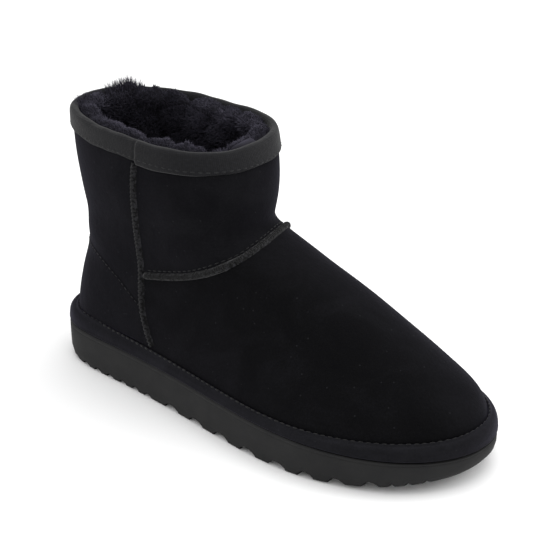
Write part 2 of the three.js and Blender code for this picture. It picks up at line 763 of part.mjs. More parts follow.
// Locks differ in place, length and turn by these waves over their count.
const lockRows = [
  { count: lockCount, from: -0.98, to: 0.94, length: lockLength, change: 0.25, lean: 0.35, turn: 0.3 },
  { count: tuftCount, from: 0.74, to: 0.96, length: tuftLength, change: 0.2, lean: -0.08, turn: 0.25 },
];
const placeWave = 12.9;
const lengthWave = 7.3;
const turnWave = 3.7;
const placeChange = 0.02;
function liningGeometry() {
  const sections = columns.map((around) => {
    const crest = liningPoint(around, 1, 0.5);
    crest.z += pileRise;
    return [
      liningFoot(around, 1),
      ...pileLevels.map((level) => liningPoint(around, level, 1)),
      crest,
      ...backingLevels.map((level) => liningPoint(around, level, 0)),
      liningFoot(around, 0),
    ];
  });
  let body = toManifold(hoop(sections));
  for (const row of lockRows) {
    for (let i = 0; i < row.count; i++) {
      const around = mix(row.from, row.to, i / (row.count - 1)) + placeChange * Math.sin(i * placeWave);
      const length = row.length * (1 - row.change + row.change * Math.sin(i * lengthWave));
      body = body.add(toManifold(lockGeometry(around, length, row.lean, row.turn * Math.sin(i * turnWave))));
    }
  }
  return fromManifold(body);
}

const suede = { color: 0x17171a, roughness: 0.95, metalness: 0 };
const tape = { color: 0x2c2c2e, roughness: 0.9, metalness: 0 };
const thread = { color: 0x323234, roughness: 0.8, metalness: 0 };
const foam = { color: 0x2b2b2c, roughness: 0.85, metalness: 0 };
const wool = { color: 0x1e1d23, roughness: 1, metalness: 0 };

const boot = new THREE.Group();
function add(name, geometry, finish) {
  const mesh = new THREE.Mesh(geometry, new THREE.MeshStandardMaterial(finish));
  mesh.name = name;
  boot.add(mesh);
}
add('outsole', outsoleGeometry(), foam);
add('upper', upperGeometry(), suede);
add('insole', insoleGeometry(), wool);
add('foxing_band', bandGeometry(), suede);
add('collar_binding', bindingGeometry(), tape);
add('side_seam_lateral', sideSeamGeometry(-1), thread);
add('side_seam_medial', sideSeamGeometry(1), thread);
add('vamp_seam', vampSeamGeometry(), thread);
add('heel_counter', counterGeometry(), suede);
add('wool_lining', liningGeometry(), wool);

// The origin is on the floor under the middle of the boot.
const box = new THREE.Box3().setFromObject(boot);
const centre = box.getCenter(new THREE.Vector3());
boot.position.set(-centre.x, -centre.y, -box.min.z);

const part = new THREE.Group();
part.add(boot);
export default part;
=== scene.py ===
"""A black sheepskin ankle boot for the right foot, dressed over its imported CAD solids."""

import math

import bpy
import numpy as np
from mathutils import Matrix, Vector
from mathutils.bvhtree import BVHTree
from mathutils.kdtree import KDTree


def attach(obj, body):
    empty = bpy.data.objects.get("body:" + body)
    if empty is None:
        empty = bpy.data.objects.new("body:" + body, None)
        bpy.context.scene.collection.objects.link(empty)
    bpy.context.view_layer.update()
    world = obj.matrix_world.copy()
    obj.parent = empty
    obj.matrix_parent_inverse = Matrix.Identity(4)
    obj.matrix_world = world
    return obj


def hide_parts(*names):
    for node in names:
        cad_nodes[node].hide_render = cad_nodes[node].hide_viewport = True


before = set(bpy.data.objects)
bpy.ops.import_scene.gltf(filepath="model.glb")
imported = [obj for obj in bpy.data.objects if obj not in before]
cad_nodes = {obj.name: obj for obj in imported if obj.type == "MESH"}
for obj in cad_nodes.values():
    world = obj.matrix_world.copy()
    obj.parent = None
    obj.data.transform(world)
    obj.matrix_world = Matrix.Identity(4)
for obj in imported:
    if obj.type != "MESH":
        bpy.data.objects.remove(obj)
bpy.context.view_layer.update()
scene = bpy.context.scene


# Outsole: one thick moulding of foamed rubber, matt and slightly mottled. It has a thin lip round its
# top edge, and rounded grooves cut right across underneath, so its lower edge looks scalloped.
def linear(code):
    """An sRGB hex colour as linear red, green, blue and alpha."""
    channels = [int(code[i : i + 2], 16) / 255 for i in (1, 3, 5)]
    return [c / 12.92 if c <= 0.04045 else ((c + 0.055) / 1.055) ** 2.4 for c in channels] + [1]


def add_node(tree, kind, values=None, links=None, **settings):
    """Adds one node, with its settings, the values of its sockets and what is linked to them."""
    node = tree.nodes.new(kind)
    for name, value in settings.items():
        setattr(node, name, value)
    for socket, value in (values or {}).items():
        node.inputs[socket].default_value = value
    for socket, source in (links or {}).items():
        tree.links.new(source, node.inputs[socket])
    return node


def new_material(name):
    """A material with nothing but its output, and its node tree."""
    material = bpy.data.materials.new(name)
    material.use_nodes = True
    material.node_tree.nodes.clear()
    return material, material.node_tree


def ramp(tree, factor, stops):
    """A colour ramp over a factor: rows of position and sRGB hex colour."""
    node = add_node(tree, "ShaderNodeValToRGB", links={"Fac": factor})
    while len(node.color_ramp.elements) < len(stops):
        node.color_ramp.elements.new(0.5)
    for element, (position, code) in zip(node.color_ramp.elements, stops):
        element.position = position
        element.color = linear(code)
    return node.outputs["Color"]


def select_only(piece):
    bpy.ops.object.select_all(action="DESELECT")
    piece.select_set(True)
    bpy.context.view_layer.objects.active = piece


def mesh_object(name, vertices, faces):
    """A new smooth-shaded piece from lists of vertices and faces, at the origin."""
    mesh = bpy.data.meshes.new(name)
    mesh.from_pydata([tuple(v) for v in vertices], [], [tuple(int(i) for i in face) for face in faces])
    mesh.validate()
    piece = bpy.data.objects.new(name, mesh)
    scene.collection.objects.link(piece)
    select_only(piece)
    bpy.ops.object.shade_smooth()
    return piece


def merged_copy(node, name):
    """A copy of a CAD node as its own piece, its loose triangles joined into quads where they fit."""
    piece = bpy.data.objects.new(name, cad_nodes[node].data.copy())
    scene.collection.objects.link(piece)
    select_only(piece)
    bpy.ops.mesh.customdata_custom_splitnormals_clear()
    bpy.ops.object.mode_set(mode="EDIT")
    bpy.ops.mesh.select_all(action="SELECT")
    bpy.ops.mesh.remove_doubles(threshold=1e-6)
    bpy.ops.mesh.tris_convert_to_quads(
        face_threshold=math.radians(60), shape_threshold=math.radians(70)
    )
    bpy.ops.mesh.normals_make_consistent(inside=False)
    bpy.ops.object.mode_set(mode="OBJECT")
    piece.data.materials.clear()
    return piece


def apply_modifier(piece, kind, **settings):
    select_only(piece)
    modifier = piece.modifiers.new(kind.title(), kind)
    for name, value in settings.items():
        setattr(modifier, name, value)
    bpy.ops.object.modifier_apply(modifier=modifier.name)


def coordinates(piece):
    """A mesh's vertices as an array."""
    found = np.zeros(len(piece.data.vertices) * 3)
    piece.data.vertices.foreach_get("co", found)
    return found.reshape(-1, 3)


def set_coordinates(piece, points):
    piece.data.vertices.foreach_set("co", np.asarray(points, np.float32).ravel())
    piece.data.update()


def vertex_normals(piece):
    found = np.zeros(len(piece.data.vertices) * 3)
    piece.data.vertex_normals.foreach_get("vector", found)
    return found.reshape(-1, 3)


def along_line(line, at):
    """Points at distances along a line of points."""
    run = np.r_[0, np.cumsum(np.linalg.norm(np.diff(line, axis=0), axis=1))]
    return np.stack([np.interp(at, run, line[:, k]) for k in range(3)], axis=1)


def line_length(line):
    return float(np.linalg.norm(np.diff(line, axis=0), axis=1).sum())


def smooth_loop(points, count):
    """Evenly spaced points on a smooth closed curve through the given ones."""
    before = np.roll(points, 1, axis=0)
    after = np.roll(points, -1, axis=0)
    second = np.roll(points, -2, axis=0)
    t = np.linspace(0, 1, 12, endpoint=False)[:, None, None]
    curve = points + (after - before) * t / 2
    curve = curve + (2 * before - 5 * points + 4 * after - second) * t**2 / 2
    curve = curve + (3 * points - before - 3 * after + second) * t**3 / 2
    line = curve.transpose(1, 0, 2).reshape(-1, 3)
    line = np.r_[line, line[:1]]
    return along_line(line, np.linspace(0, line_length(line), count, endpoint=False))


def smoothstep(t):
    t = np.clip(t, 0, 1)
    return t * t * (3 - 2 * t)


def per_metre(size):
    """Scale of a pattern on coordinates in metres that repeats once in a size in mm."""
    return 1000 / size


sole_corners = coordinates(cad_nodes["outsole"])
sole_back = float(sole_corners[:, 0].min())
sole_length = float(np.ptp(sole_corners[:, 0]))
sole_columns = 240
heel_deck = 0.0217
toe_deck = 0.018
ball_width = 0.104
# Along the sole, as shares of its length from the heel
waist = 0.3
arch_end = 0.56
arch_blend = 0.1
spring_start = 0.7
toe_spring = 0.0078
arch_lift = 0.0018
# Wall from the tread (0) to the top (1): drawn in along the sides, at the heel and at the toe, in mm
sole_wall = [
    (0.00, 1.8, 4.0, 5.0),
    (0.02, 1.0, 3.1, 4.0),
    (0.09, 0.6, 1.8, 3.0),
    (0.30, 0.2, 0.3, 1.0),
    (0.60, 0.05, 0.1, 0.1),
    (0.85, 0.0, 0.0, 0.0),
    (0.875, 0.15, 0.15, 0.15),
    (0.895, 0.3, 0.3, 0.3),
    (0.915, 0.15, 0.15, 0.15),
    (0.93, 0.0, 0.0, 0.0),
    (0.975, 0.1, 0.1, 0.1),
    (1.00, 0.5, 0.5, 0.5),
]
# Grooves across the tread: first and last as shares of the length, spacing and depth in mm
sole_grooves = [
    (0.066, 0.31, 10.6, 2.6),
    (0.376, 0.69, 20.4, 3.6),
    (0.743, 0.87, 16.5, 3.8),
    (0.898, 0.952, 6.4, 3.0),
]
groove_half_width = 0.29  # as a share of the spacing
groove_sides = 16
across_sole = 0.2
moulded_radius = 0.0004


def tread_rise(x):
    share = np.clip(((x - sole_back) / sole_length - spring_start) / (1 - spring_start), 0, 1)
    return toe_spring * share**2


def deck_height(x):
    """Height of the outsole's top, which thins from the waist to the toe."""
    along = (x - sole_back) / sole_length
    return heel_deck + (toe_deck - heel_deck) * smoothstep((along - waist) / (1 - waist))


def tread_height(x, y):
    along = (x - sole_back) / sole_length
    arch = smoothstep((along - waist) / arch_blend) * smoothstep((arch_end - along) / arch_blend)
    return tread_rise(x) + arch_lift * arch * smoothstep(y / ball_width + 0.5)


solid_sole = merged_copy("outsole", "sole_pattern")
# The deck is the flat top: its faces look up and lie above the middle of the sole
top_corners = {
    index
    for face in solid_sole.data.polygons
    if face.normal.z > 0.9 and face.center.z > 0.7 * heel_deck
    for index in face.vertices
}
sole_edge = coordinates(solid_sole)[sorted(top_corners)]
bpy.data.objects.remove(solid_sole)
sole_edge = sole_edge[np.argsort(np.arctan2(sole_edge[:, 1], sole_edge[:, 0]))]
sole_edge = smooth_loop(sole_edge, sole_columns)
heel_first = int(np.argmin(sole_edge[:, 0]))
sole_edge = np.roll(sole_edge, -heel_first, axis=0)
edge_run = np.roll(sole_edge, -1, axis=0) - np.roll(sole_edge, 1, axis=0)
edge_out = np.stack([edge_run[:, 1], -edge_run[:, 0]], axis=1)
edge_out /= np.linalg.norm(edge_out, axis=1)[:, None]
sole_rings = []
for rise, side, heel, toe in sole_wall:
    back, front = sole_edge[:, 0].min(), sole_edge[:, 0].max()
    share = (sole_edge[:, 0] - back) / (front - back)
    x = back + heel / 1000 + share * (front - back - (heel + toe) / 1000)
    y = sole_edge[:, 1] - edge_out[:, 1] * side / 1000
    low = tread_height(x, y)
    sole_rings.append(np.stack([x, y, low + (sole_edge[:, 2] - low) * rise], axis=1))
sole_faces = []
for ring in range(len(sole_rings) - 1):
    for i in range(sole_columns):
        j = (i + 1) % sole_columns
        a, b = ring * sole_columns, (ring + 1) * sole_columns
        sole_faces.append((a + i, a + j, b + j, b + i))
for start in (0, (len(sole_rings) - 1) * sole_columns):
    for i in range(sole_columns // 2):
        corners = [i, i + 1, sole_columns - i - 1, (sole_columns - i) % sole_columns]
        distinct = list(dict.fromkeys(corners))
        sole_faces.append([start + c for c in distinct])
outsole = mesh_object("outsole_moulding", np.concatenate(sole_rings), sole_faces)
bpy.ops.object.mode_set(mode="EDIT")
bpy.ops.mesh.select_all(action="SELECT")
bpy.ops.mesh.normals_make_consistent(inside=False)
bpy.ops.object.mode_set(mode="OBJECT")

groove_cutters = []
for first, last, pitch, depth in sole_grooves:
    for k in range(math.ceil((last - first) * sole_length * 1000 / pitch)):
        x = sole_back + first * sole_length + k * pitch / 1000
        roof = float(tread_rise(x)) + depth / 1000
        bpy.ops.object.select_all(action="DESELECT")
        bpy.ops.mesh.primitive_cylinder_add(
            vertices=groove_sides,
            radius=1,
            depth=across_sole,
            location=(x, 0, 0),
            rotation=(math.pi / 2, 0, 0),
        )
        cutter = bpy.context.object
        cutter.scale = (groove_half_width * pitch / 1000, roof, 1)
        bpy.ops.object.transform_apply(location=True, rotation=True, scale=True)
        groove_cutters.append(cutter)
bpy.ops.object.select_all(action="DESELECT")
for cutter in groove_cutters:
    cutter.select_set(True)
bpy.context.view_layer.objects.active = groove_cutters[0]
bpy.ops.object.join()
cutter = bpy.context.object
apply_modifier(outsole, "BOOLEAN", object=cutter, operation="DIFFERENCE", solver="EXACT")
bpy.data.objects.remove(cutter)
apply_modifier(
    outsole,
    "BEVEL",
    width=moulded_radius,
    segments=2,
    limit_method="ANGLE",
    angle_limit=math.radians(40),
)
select_only(outsole)
bpy.ops.object.shade_smooth_by_angle(angle=math.radians(35))

# Foamed rubber (EVA), moulded: an even matt grey-black with a faint grain from the mould, which is
# drawn 0.7 mm across so that it shows
foam_rubber, tree = new_material("foam_rubber_moulded_matt")
place = add_node(tree, "ShaderNodeTexCoord").outputs["Object"]
mottle = add_node(
    tree,
    "ShaderNodeTexNoise",
    {"Scale": per_metre(11.1), "Detail": 5, "Roughness": 0.6},
    {"Vector": place},
)
grain = add_node(
    tree, "ShaderNodeTexNoise", {"Scale": per_metre(0.714), "Detail": 3}, {"Vector": place}
)
bump = add_node(
    tree, "ShaderNodeBump", {"Strength": 0.35, "Distance": 0.0003}, {"Height": grain.outputs["Fac"]}
)
shader = add_node(
    tree,
    "ShaderNodeBsdfPrincipled",
    {"Roughness": 0.78, "Specular IOR Level": 0.25},
    {
        "Base Color": ramp(tree, mottle.outputs["Fac"], [(0.3, "#161617"), (0.7, "#1d1d1d")]),
        "Normal": bump.outputs["Normal"],
    },
)
add_node(tree, "ShaderNodeOutputMaterial", links={"Surface": shader.outputs["BSDF"]})
outsole.data.materials.append(foam_rubber)
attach(outsole, "root")
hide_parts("outsole")


# Upper: panels of sheepskin with the suede side out, napped and nearly black. It is soft, so it has
# shallow folds where it bends at the ankle and instep and where the shaft slumps a little.
def nearest_on(tree, points):
    """Nearest point, normal and distance on a mesh for each of some points."""
    found = [tree.find_nearest(Vector(p)) for p in points]
    return (
        np.array([f[0] for f in found]),
        np.array([f[1] for f in found]),
        np.array([f[3] for f in found]),
    )


def napped_suede(name, dark, middle, light, sheen, sheen_tint):
    """Sueded leather: a dull nap with brushed patches, a faint glow at its edges and specks of lint."""
    material, tree = new_material(name)
    place = add_node(tree, "ShaderNodeTexCoord").outputs["Object"]
    brushed = add_node(
        tree,
        "ShaderNodeTexNoise",
        {"Scale": per_metre(26.3), "Detail": 6, "Roughness": 0.62, "Distortion": 0.8},
        {"Vector": place},
    )
    # Single fibres of the nap are too fine to show, so it is drawn as tufts about 1 mm across
    nap = add_node(
        tree,
        "ShaderNodeTexNoise",
        {"Scale": per_metre(1.11), "Detail": 4, "Roughness": 0.7},
        {"Vector": place},
    )
    pebble = add_node(
        tree, "ShaderNodeTexNoise", {"Scale": per_metre(3.85), "Detail": 3}, {"Vector": place}
    )
    nap_share = add_node(
        tree, "ShaderNodeMath", {1: 0.45}, {0: nap.outputs["Fac"]}, operation="MULTIPLY"
    )
    shade = add_node(
        tree,
        "ShaderNodeMath",
        {1: 0.6},
        {0: brushed.outputs["Fac"], 2: nap_share.outputs["Value"]},
        operation="MULTIPLY_ADD",
    )
    colour = ramp(tree, shade.outputs["Value"], [(0.36, dark), (0.52, middle), (0.7, light)])
    lint_cells = add_node(tree, "ShaderNodeTexVoronoi", {"Scale": per_metre(5.56)}, {"Vector": place})
    lint_dot = add_node(
        tree, "ShaderNodeMath", {1: 0.075}, {0: lint_cells.outputs["Distance"]}, operation="LESS_THAN"
    )
    lint_share = add_node(
        tree, "ShaderNodeMath", {1: 0.2}, {0: lint_dot.outputs["Value"]}, operation="MULTIPLY"
    )
    colour = add_node(
        tree,
        "ShaderNodeMix",
        {"B": linear("#3a3a3d")},
        {"Factor": lint_share.outputs["Value"], "A": colour},
        data_type="RGBA",
    ).outputs["Result"]
    fine = add_node(
        tree, "ShaderNodeBump", {"Strength": 0.5, "Distance": 0.0003}, {"Height": nap.outputs["Fac"]}
    )
    coarse = add_node(
        tree,
        "ShaderNodeBump",
        {"Strength": 0.4, "Distance": 0.0005},
        {"Height": pebble.outputs["Fac"], "Normal": fine.outputs["Normal"]},
    )
    shader = add_node(
        tree,
        "ShaderNodeBsdfPrincipled",
        {
            "Roughness": 0.95,
            "Specular IOR Level": 0.05,
            "Sheen Weight": sheen,
            "Sheen Roughness": 0.45,
            "Sheen Tint": linear(sheen_tint),
        },
        {"Base Color": colour, "Normal": coarse.outputs["Normal"]},
    )
    add_node(tree, "ShaderNodeOutputMaterial", links={"Surface": shader.outputs["BSDF"]})
    return material


# Black sheepskin suede, brushed: nearly no light comes back from it but a faint bloom
black_suede = napped_suede("sheepskin_suede_napped", "#09090b", "#0e0e10", "#141416", 0.1, "#8e8aa6")

# Soft folds: from, to, width and depth in mm; a negative depth is a ridge
upper_folds = [
    ((38, -30, 84), (-14, -34, 78), 7, 0.9),
    ((-8, -10, 108), (-22, -36, 112), 9, 0.8),
    ((-4, -4, 97), (-14, -30, 90), 5, -0.7),
    ((-118, -18, 72), (-86, -36, 62), 9, 1.0),
    ((-116, -20, 84), (-84, -36, 78), 8, -0.8),
    ((-112, -24, 92), (-80, -36, 96), 9, 0.7),
    ((-60, -36, 118), (-40, -34, 84), 12, 0.8),
    ((-118, 18, 72), (-86, 36, 66), 9, 1.0),
    ((-112, 22, 90), (-78, 36, 84), 9, -0.8),
    ((-10, 24, 102), (-46, 36, 92), 9, 0.9),
    ((18, -20, 76), (34, -42, 50), 12, 0.8),
    ((40, -16, 68), (58, -44, 38), 11, 0.6),
    ((22, 26, 76), (38, 44, 46), 12, 0.8),
    ((96, -18, 44), (112, 10, 40), 10, 0.5),
]


def fold(piece, folds):
    """Presses soft troughs, and raises ridges, along short lines on a piece."""
    points = coordinates(piece)
    normals = vertex_normals(piece)
    shift = np.zeros(len(points))
    for start, end, width, depth in folds:
        a, b = np.array(start) / 1000, np.array(end) / 1000
        t = np.clip((points - a) @ (b - a) / ((b - a) @ (b - a)), 0, 1)
        away = np.linalg.norm(points - a - t[:, None] * (b - a), axis=1)
        bow = 0.4 + 0.6 * np.sin(np.pi * np.clip(t, 0.08, 0.92))
        shift -= depth / 1000 * bow * np.exp(-((away / (width / 1000)) ** 2))
    set_coordinates(piece, points + normals * shift[:, None])


upper = merged_copy("upper", "upper_suede")
apply_modifier(upper, "SUBSURF", levels=2, render_levels=2)
fold(upper, upper_folds)
select_only(upper)
bpy.ops.object.shade_smooth()
upper.data.materials.append(black_suede)
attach(upper, "root")
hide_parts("upper")
upper_tree = BVHTree.FromObject(upper, bpy.context.evaluated_depsgraph_get())


# Heel counter: a second layer of the same suede round the back, over the sheepskin, skived thin at its
# curved top edge and stitched down. It is laid on the upper by rays from outside.
counter_middle = -0.085
counter_columns = 150
counter_rows = 34
counter_wall = 0.0004
counter_tuck = -0.0003
counter_skive = 0.003
counter_samples = 28
counter_column_step = 0.0008
counter_foot_tuck = 0.002
ray_start = 0.2


def skin_at(turn, height, offset):
    """A point outside the upper at a turn round the heel and a height, and the upper's normal there."""
    outward = Vector((math.cos(turn), math.sin(turn), 0))
    start = Vector((counter_middle, 0, height)) + outward * ray_start
    hit = upper_tree.ray_cast(start, -outward)
    return np.array(hit[0] + hit[1] * offset), np.array(hit[1])


counter_pattern = merged_copy("heel_counter", "heel_counter_pattern")
corners = coordinates(counter_pattern)
bpy.data.objects.remove(counter_pattern)
corner_turns = np.arctan2(corners[:, 1], corners[:, 0] - counter_middle) % (2 * np.pi)
edge_turns = np.linspace(corner_turns.min(), corner_turns.max(), counter_samples)
top_heights, foot_heights = [], []
for turn in edge_turns:
    close = np.abs(corner_turns - turn) < (edge_turns[1] - edge_turns[0]) * 0.7
    top_heights.append(corners[close, 2].max())
    foot_heights.append(corners[close, 2].min())
smoothing = np.array([1, 2, 3, 2, 1]) / 9
top_heights = np.convolve(np.pad(top_heights, 2, mode="edge"), smoothing, "valid")
foot_heights = np.convolve(np.pad(foot_heights, 2, mode="edge"), smoothing, "valid")

outer_side_points, inner_side_points = [], []
for column in range(counter_columns):
    turn = edge_turns[0] + (edge_turns[-1] - edge_turns[0]) * column / (counter_columns - 1)
    top = float(np.interp(turn, edge_turns, top_heights))
    foot = float(np.interp(turn, edge_turns, foot_heights)) - counter_foot_tuck
    side_edge = min(column, counter_columns - 1 - column) * counter_column_step
    for row in range(counter_rows):
        share = 1 - (1 - row / (counter_rows - 1)) ** 1.6
        height = foot + (top - foot) * share
        from_edge = min(top - height, side_edge)
        skived = float(smoothstep(from_edge / counter_skive))
        offset = (counter_wall - counter_tuck) * skived + counter_tuck
        outer_side_points.append(skin_at(turn, height, offset)[0])
        inner_side_points.append(skin_at(turn, height, 3 * counter_tuck)[0])
counter_faces = []
layer = counter_columns * counter_rows
for column in range(counter_columns - 1):
    for row in range(counter_rows - 1):
        a = column * counter_rows + row
        b = a + counter_rows
        counter_faces.append((a, b, b + 1, a + 1))
        counter_faces.append((layer + a, layer + a + 1, layer + b + 1, layer + b))
rim = [c * counter_rows for c in range(counter_columns)]
rim += [(counter_columns - 1) * counter_rows + r for r in range(1, counter_rows)]
rim += [c * counter_rows + counter_rows - 1 for c in range(counter_columns - 2, -1, -1)]
rim += [r for r in range(counter_rows - 2, 0, -1)]
for k, a in enumerate(rim):
    b = rim[(k + 1) % len(rim)]
    counter_faces.append((a, layer + a, layer + b, b))
counter = mesh_object("heel_counter_suede", outer_side_points + inner_side_points, counter_faces)
bpy.ops.object.mode_set(mode="EDIT")
bpy.ops.mesh.select_all(action="SELECT")
bpy.ops.mesh.normals_make_consistent(inside=False)
bpy.ops.object.mode_set(mode="OBJECT")
counter.data.materials.append(black_suede)
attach(counter, "root")
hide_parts("heel_counter")


# Covered band: a strip of suede wrapped over the joint of upper and sole. It is stitched to the upper
# along its top edge, dips beyond the stitches and then rolls out over the edge of the sole.

# The band's suede is the same hide, painted a little lighter than the upper: a painted highlight for
# the light its roll catches
band_suede_painted_light = napped_suede("band_suede_napped_painted_light", "#0f0f11", "#151517", "#1b1b1e", 0.2, "#9490aa")
band = merged_copy("foxing_band", "covered_band_suede")
apply_modifier(band, "SUBSURF", levels=3, render_levels=3)
band_points = coordinates(band)
band_normals = vertex_normals(band)
_, upper_out, from_upper = nearest_on(upper_tree, band_points)
facing = np.einsum("ij,ij->i", band_normals[:, :2], upper_out[:, :2]) + band_normals[:, 2]
open_side = smoothstep(1.5 * facing)
# Rises and dips across the band: distance from the upper, width and height in mm
band_relief = [(0.9, 0.7, 0.45), (2.7, 1.1, -0.55)]
relief = sum(
    height / 1000 * np.exp(-(((from_upper * 1000 - place) / width) ** 2))
    for place, width, height in band_relief
)
# The band's lower edge is turned in over the sole, so it swells into a narrow roll there
roll_height = 0.0004
roll_level = 0.0014
roll_width = 0.0009
above_deck = band_points[:, 2] - deck_height(band_points[:, 0])
lower_roll = roll_height * np.exp(-(((above_deck - roll_level) / roll_width) ** 2))
set_coordinates(band, band_points + band_normals * ((relief + lower_roll) * open_side)[:, None])
band.data.materials.append(band_suede_painted_light)
select_only(band)
bpy.ops.object.shade_smooth()
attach(band, "root")
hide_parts("foxing_band")
band_tree = BVHTree.FromObject(band, bpy.context.evaluated_depsgraph_get())


# Stitches of the band: thick thread through the band's top edge, sunk at each hole, all the way round.
def capsules(name, centres, directions, ups, length, width, height, sides=6):
    """One piece of small closed stitches, each a rounded bar lying along its direction."""
    sections = [(-0.5, 0.35), (-0.32, 0.85), (0.0, 1.0), (0.32, 0.85), (0.5, 0.35)]
    angles = np.linspace(0, 2 * np.pi, sides, endpoint=False)
    vertices, faces = [], []
    for centre, direction, up in zip(centres, directions, ups):
        direction = direction / np.linalg.norm(direction)
        across = np.cross(up, direction)
        across /= np.linalg.norm(across)
        rise = np.cross(direction, across)
        first = len(vertices)
        for along, size in sections:
            for angle in angles:
                vertices.append(
                    centre
                    + direction * along * length
                    + across * math.cos(angle) * width / 2 * size
                    + rise * math.sin(angle) * height / 2 * size
                )
        for s in range(len(sections) - 1):
            for k in range(sides):
                m = (k + 1) % sides
                a, b = first + s * sides, first + (s + 1) * sides
                faces.append((a + k, a + m, b + m, b + k))
        faces.append([first + k for k in reversed(range(sides))])
        faces.append([first + (len(sections) - 1) * sides + k for k in range(sides)])
    piece = mesh_object(name, vertices, faces)
    bpy.ops.object.mode_set(mode="EDIT")
    bpy.ops.mesh.select_all(action="SELECT")
    bpy.ops.mesh.normals_make_consistent(inside=False)
    bpy.ops.object.mode_set(mode="OBJECT")
    return piece


def wave_scale(size):
    """Scale of a wave that repeats once in a size in mm: its bands come every pi / 10 of a unit."""
    return per_metre(size) * math.pi / 10


def spun_thread(name, colour):
    """Spun polyester thread, dull, with its fine twist drawn as a wave across it."""
    material, tree = new_material(name)
    place = add_node(tree, "ShaderNodeTexCoord").outputs["Object"]
    twist = add_node(
        tree,
        "ShaderNodeTexWave",
        {"Scale": wave_scale(0.449), "Distortion": 3, "Detail": 2},
        {"Vector": place},
        bands_direction="DIAGONAL",
    )
    bump = add_node(
        tree, "ShaderNodeBump", {"Strength": 0.4, "Distance": 0.0002}, {"Height": twist.outputs["Fac"]}
    )
    shader = add_node(
        tree,
        "ShaderNodeBsdfPrincipled",
        {
            "Base Color": linear(colour),
            "Roughness": 0.75,
            "Sheen Weight": 0.08,
            "Specular IOR Level": 0.2,
        },
        {"Normal": bump.outputs["Normal"]},
    )
    add_node(tree, "ShaderNodeOutputMaterial", links={"Surface": shader.outputs["BSDF"]})
    return material


pale_thread = spun_thread("spun_thread_charcoal", "#18181a")
dark_thread = spun_thread("spun_thread_black", "#111112")


def along_closed(line, pitch):
    """Evenly spaced points round a closed line, and the direction at each."""
    closed = np.r_[line, line[:1]]
    total = line_length(closed)
    count = round(total / pitch)
    at = np.arange(count) * total / count
    points = along_line(closed, at)
    ahead = along_line(closed, np.minimum(at + pitch / 4, total))
    behind = along_line(closed, np.maximum(at - pitch / 4, 0))
    return points, ahead - behind


stitch_pitch = 0.0039
stitch_place = 0.0013
# Length, width and height of one stitch
band_stitch = (0.0026, 0.0010, 0.0007)
band_points = coordinates(band)
_, _, from_upper = nearest_on(upper_tree, band_points)
band_turns = np.arctan2(band_points[:, 1], band_points[:, 0])
stitch_line = []
for turn in np.linspace(-np.pi, np.pi, 160, endpoint=False):
    close = (np.abs(band_turns - turn) < 0.03) & (open_side > 0.5)
    wanted = np.where(close, np.abs(from_upper - stitch_place), 1)
    stitch_line.append(band_points[int(np.argmin(wanted))])
stitch_line = np.array(stitch_line)
for _ in range(3):
    before, after = np.roll(stitch_line, 1, axis=0), np.roll(stitch_line, -1, axis=0)
    stitch_line = (before + 2 * stitch_line + after) / 4
places, stitch_runs = along_closed(stitch_line, stitch_pitch)
stitch_centres, stitch_ups, _ = nearest_on(band_tree, places)
band_stitches = capsules("band_stitches", stitch_centres, stitch_runs, stitch_ups, *band_stitch)
band_stitches.data.materials.append(dark_thread)
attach(band_stitches, "root")


# Stitches of the heel counter: one fine row just below its top edge.
counter_row_drop = 0.0022
counter_row_lift = 0.00035
counter_row_end = 0.06
counter_stitch_pitch = 0.0031
counter_stitch = (0.0018, 0.0005, 0.0005)
counter_row = []
for turn in np.linspace(edge_turns[0] + counter_row_end, edge_turns[-1] - counter_row_end, 200):
    top = float(np.interp(turn, edge_turns, top_heights))
    counter_row.append(skin_at(turn, top - counter_row_drop, counter_row_lift)[0])
counter_row = np.array(counter_row)
row_at = np.arange(0.001, line_length(counter_row) - 0.001, counter_stitch_pitch)
places = along_line(counter_row, row_at)
runs = along_line(counter_row, row_at + 0.0005) - along_line(counter_row, row_at - 0.0005)
_, ups, _ = nearest_on(upper_tree, places)
counter_stitches = capsules("heel_counter_stitches", places, runs, ups, *counter_stitch)
counter_stitches.data.materials.append(pale_thread)
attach(counter_stitches, "root")


# Seams: the panels are butted, and their raised edges are overlocked together. Each seam is a low ridge
# bound in thread, with another thread zigzagging over it; the one over the instep has a thin row above.
seam_step = 0.0011
line_samples = 400
line_blur = 25
normal_spread = 9


def crest_of(node):
    """The top line of a CAD seam, in order from one end, and the upper's normal at each point."""
    corners = merged_copy(node, node + "_pattern")
    points = coordinates(corners)
    bpy.data.objects.remove(corners)
    _, _, height = nearest_on(upper_tree, points)
    crest = points[height > 0.78 * height.max()]
    start = int(np.argmax(np.linalg.norm(crest - crest.mean(axis=0), axis=1)))
    order = [start]
    left = set(range(len(crest))) - {start}
    while left:
        last = crest[order[-1]]
        step = min(left, key=lambda i: float(np.linalg.norm(crest[i] - last)))
        left.discard(step)
        order.append(step)
    return crest[order]


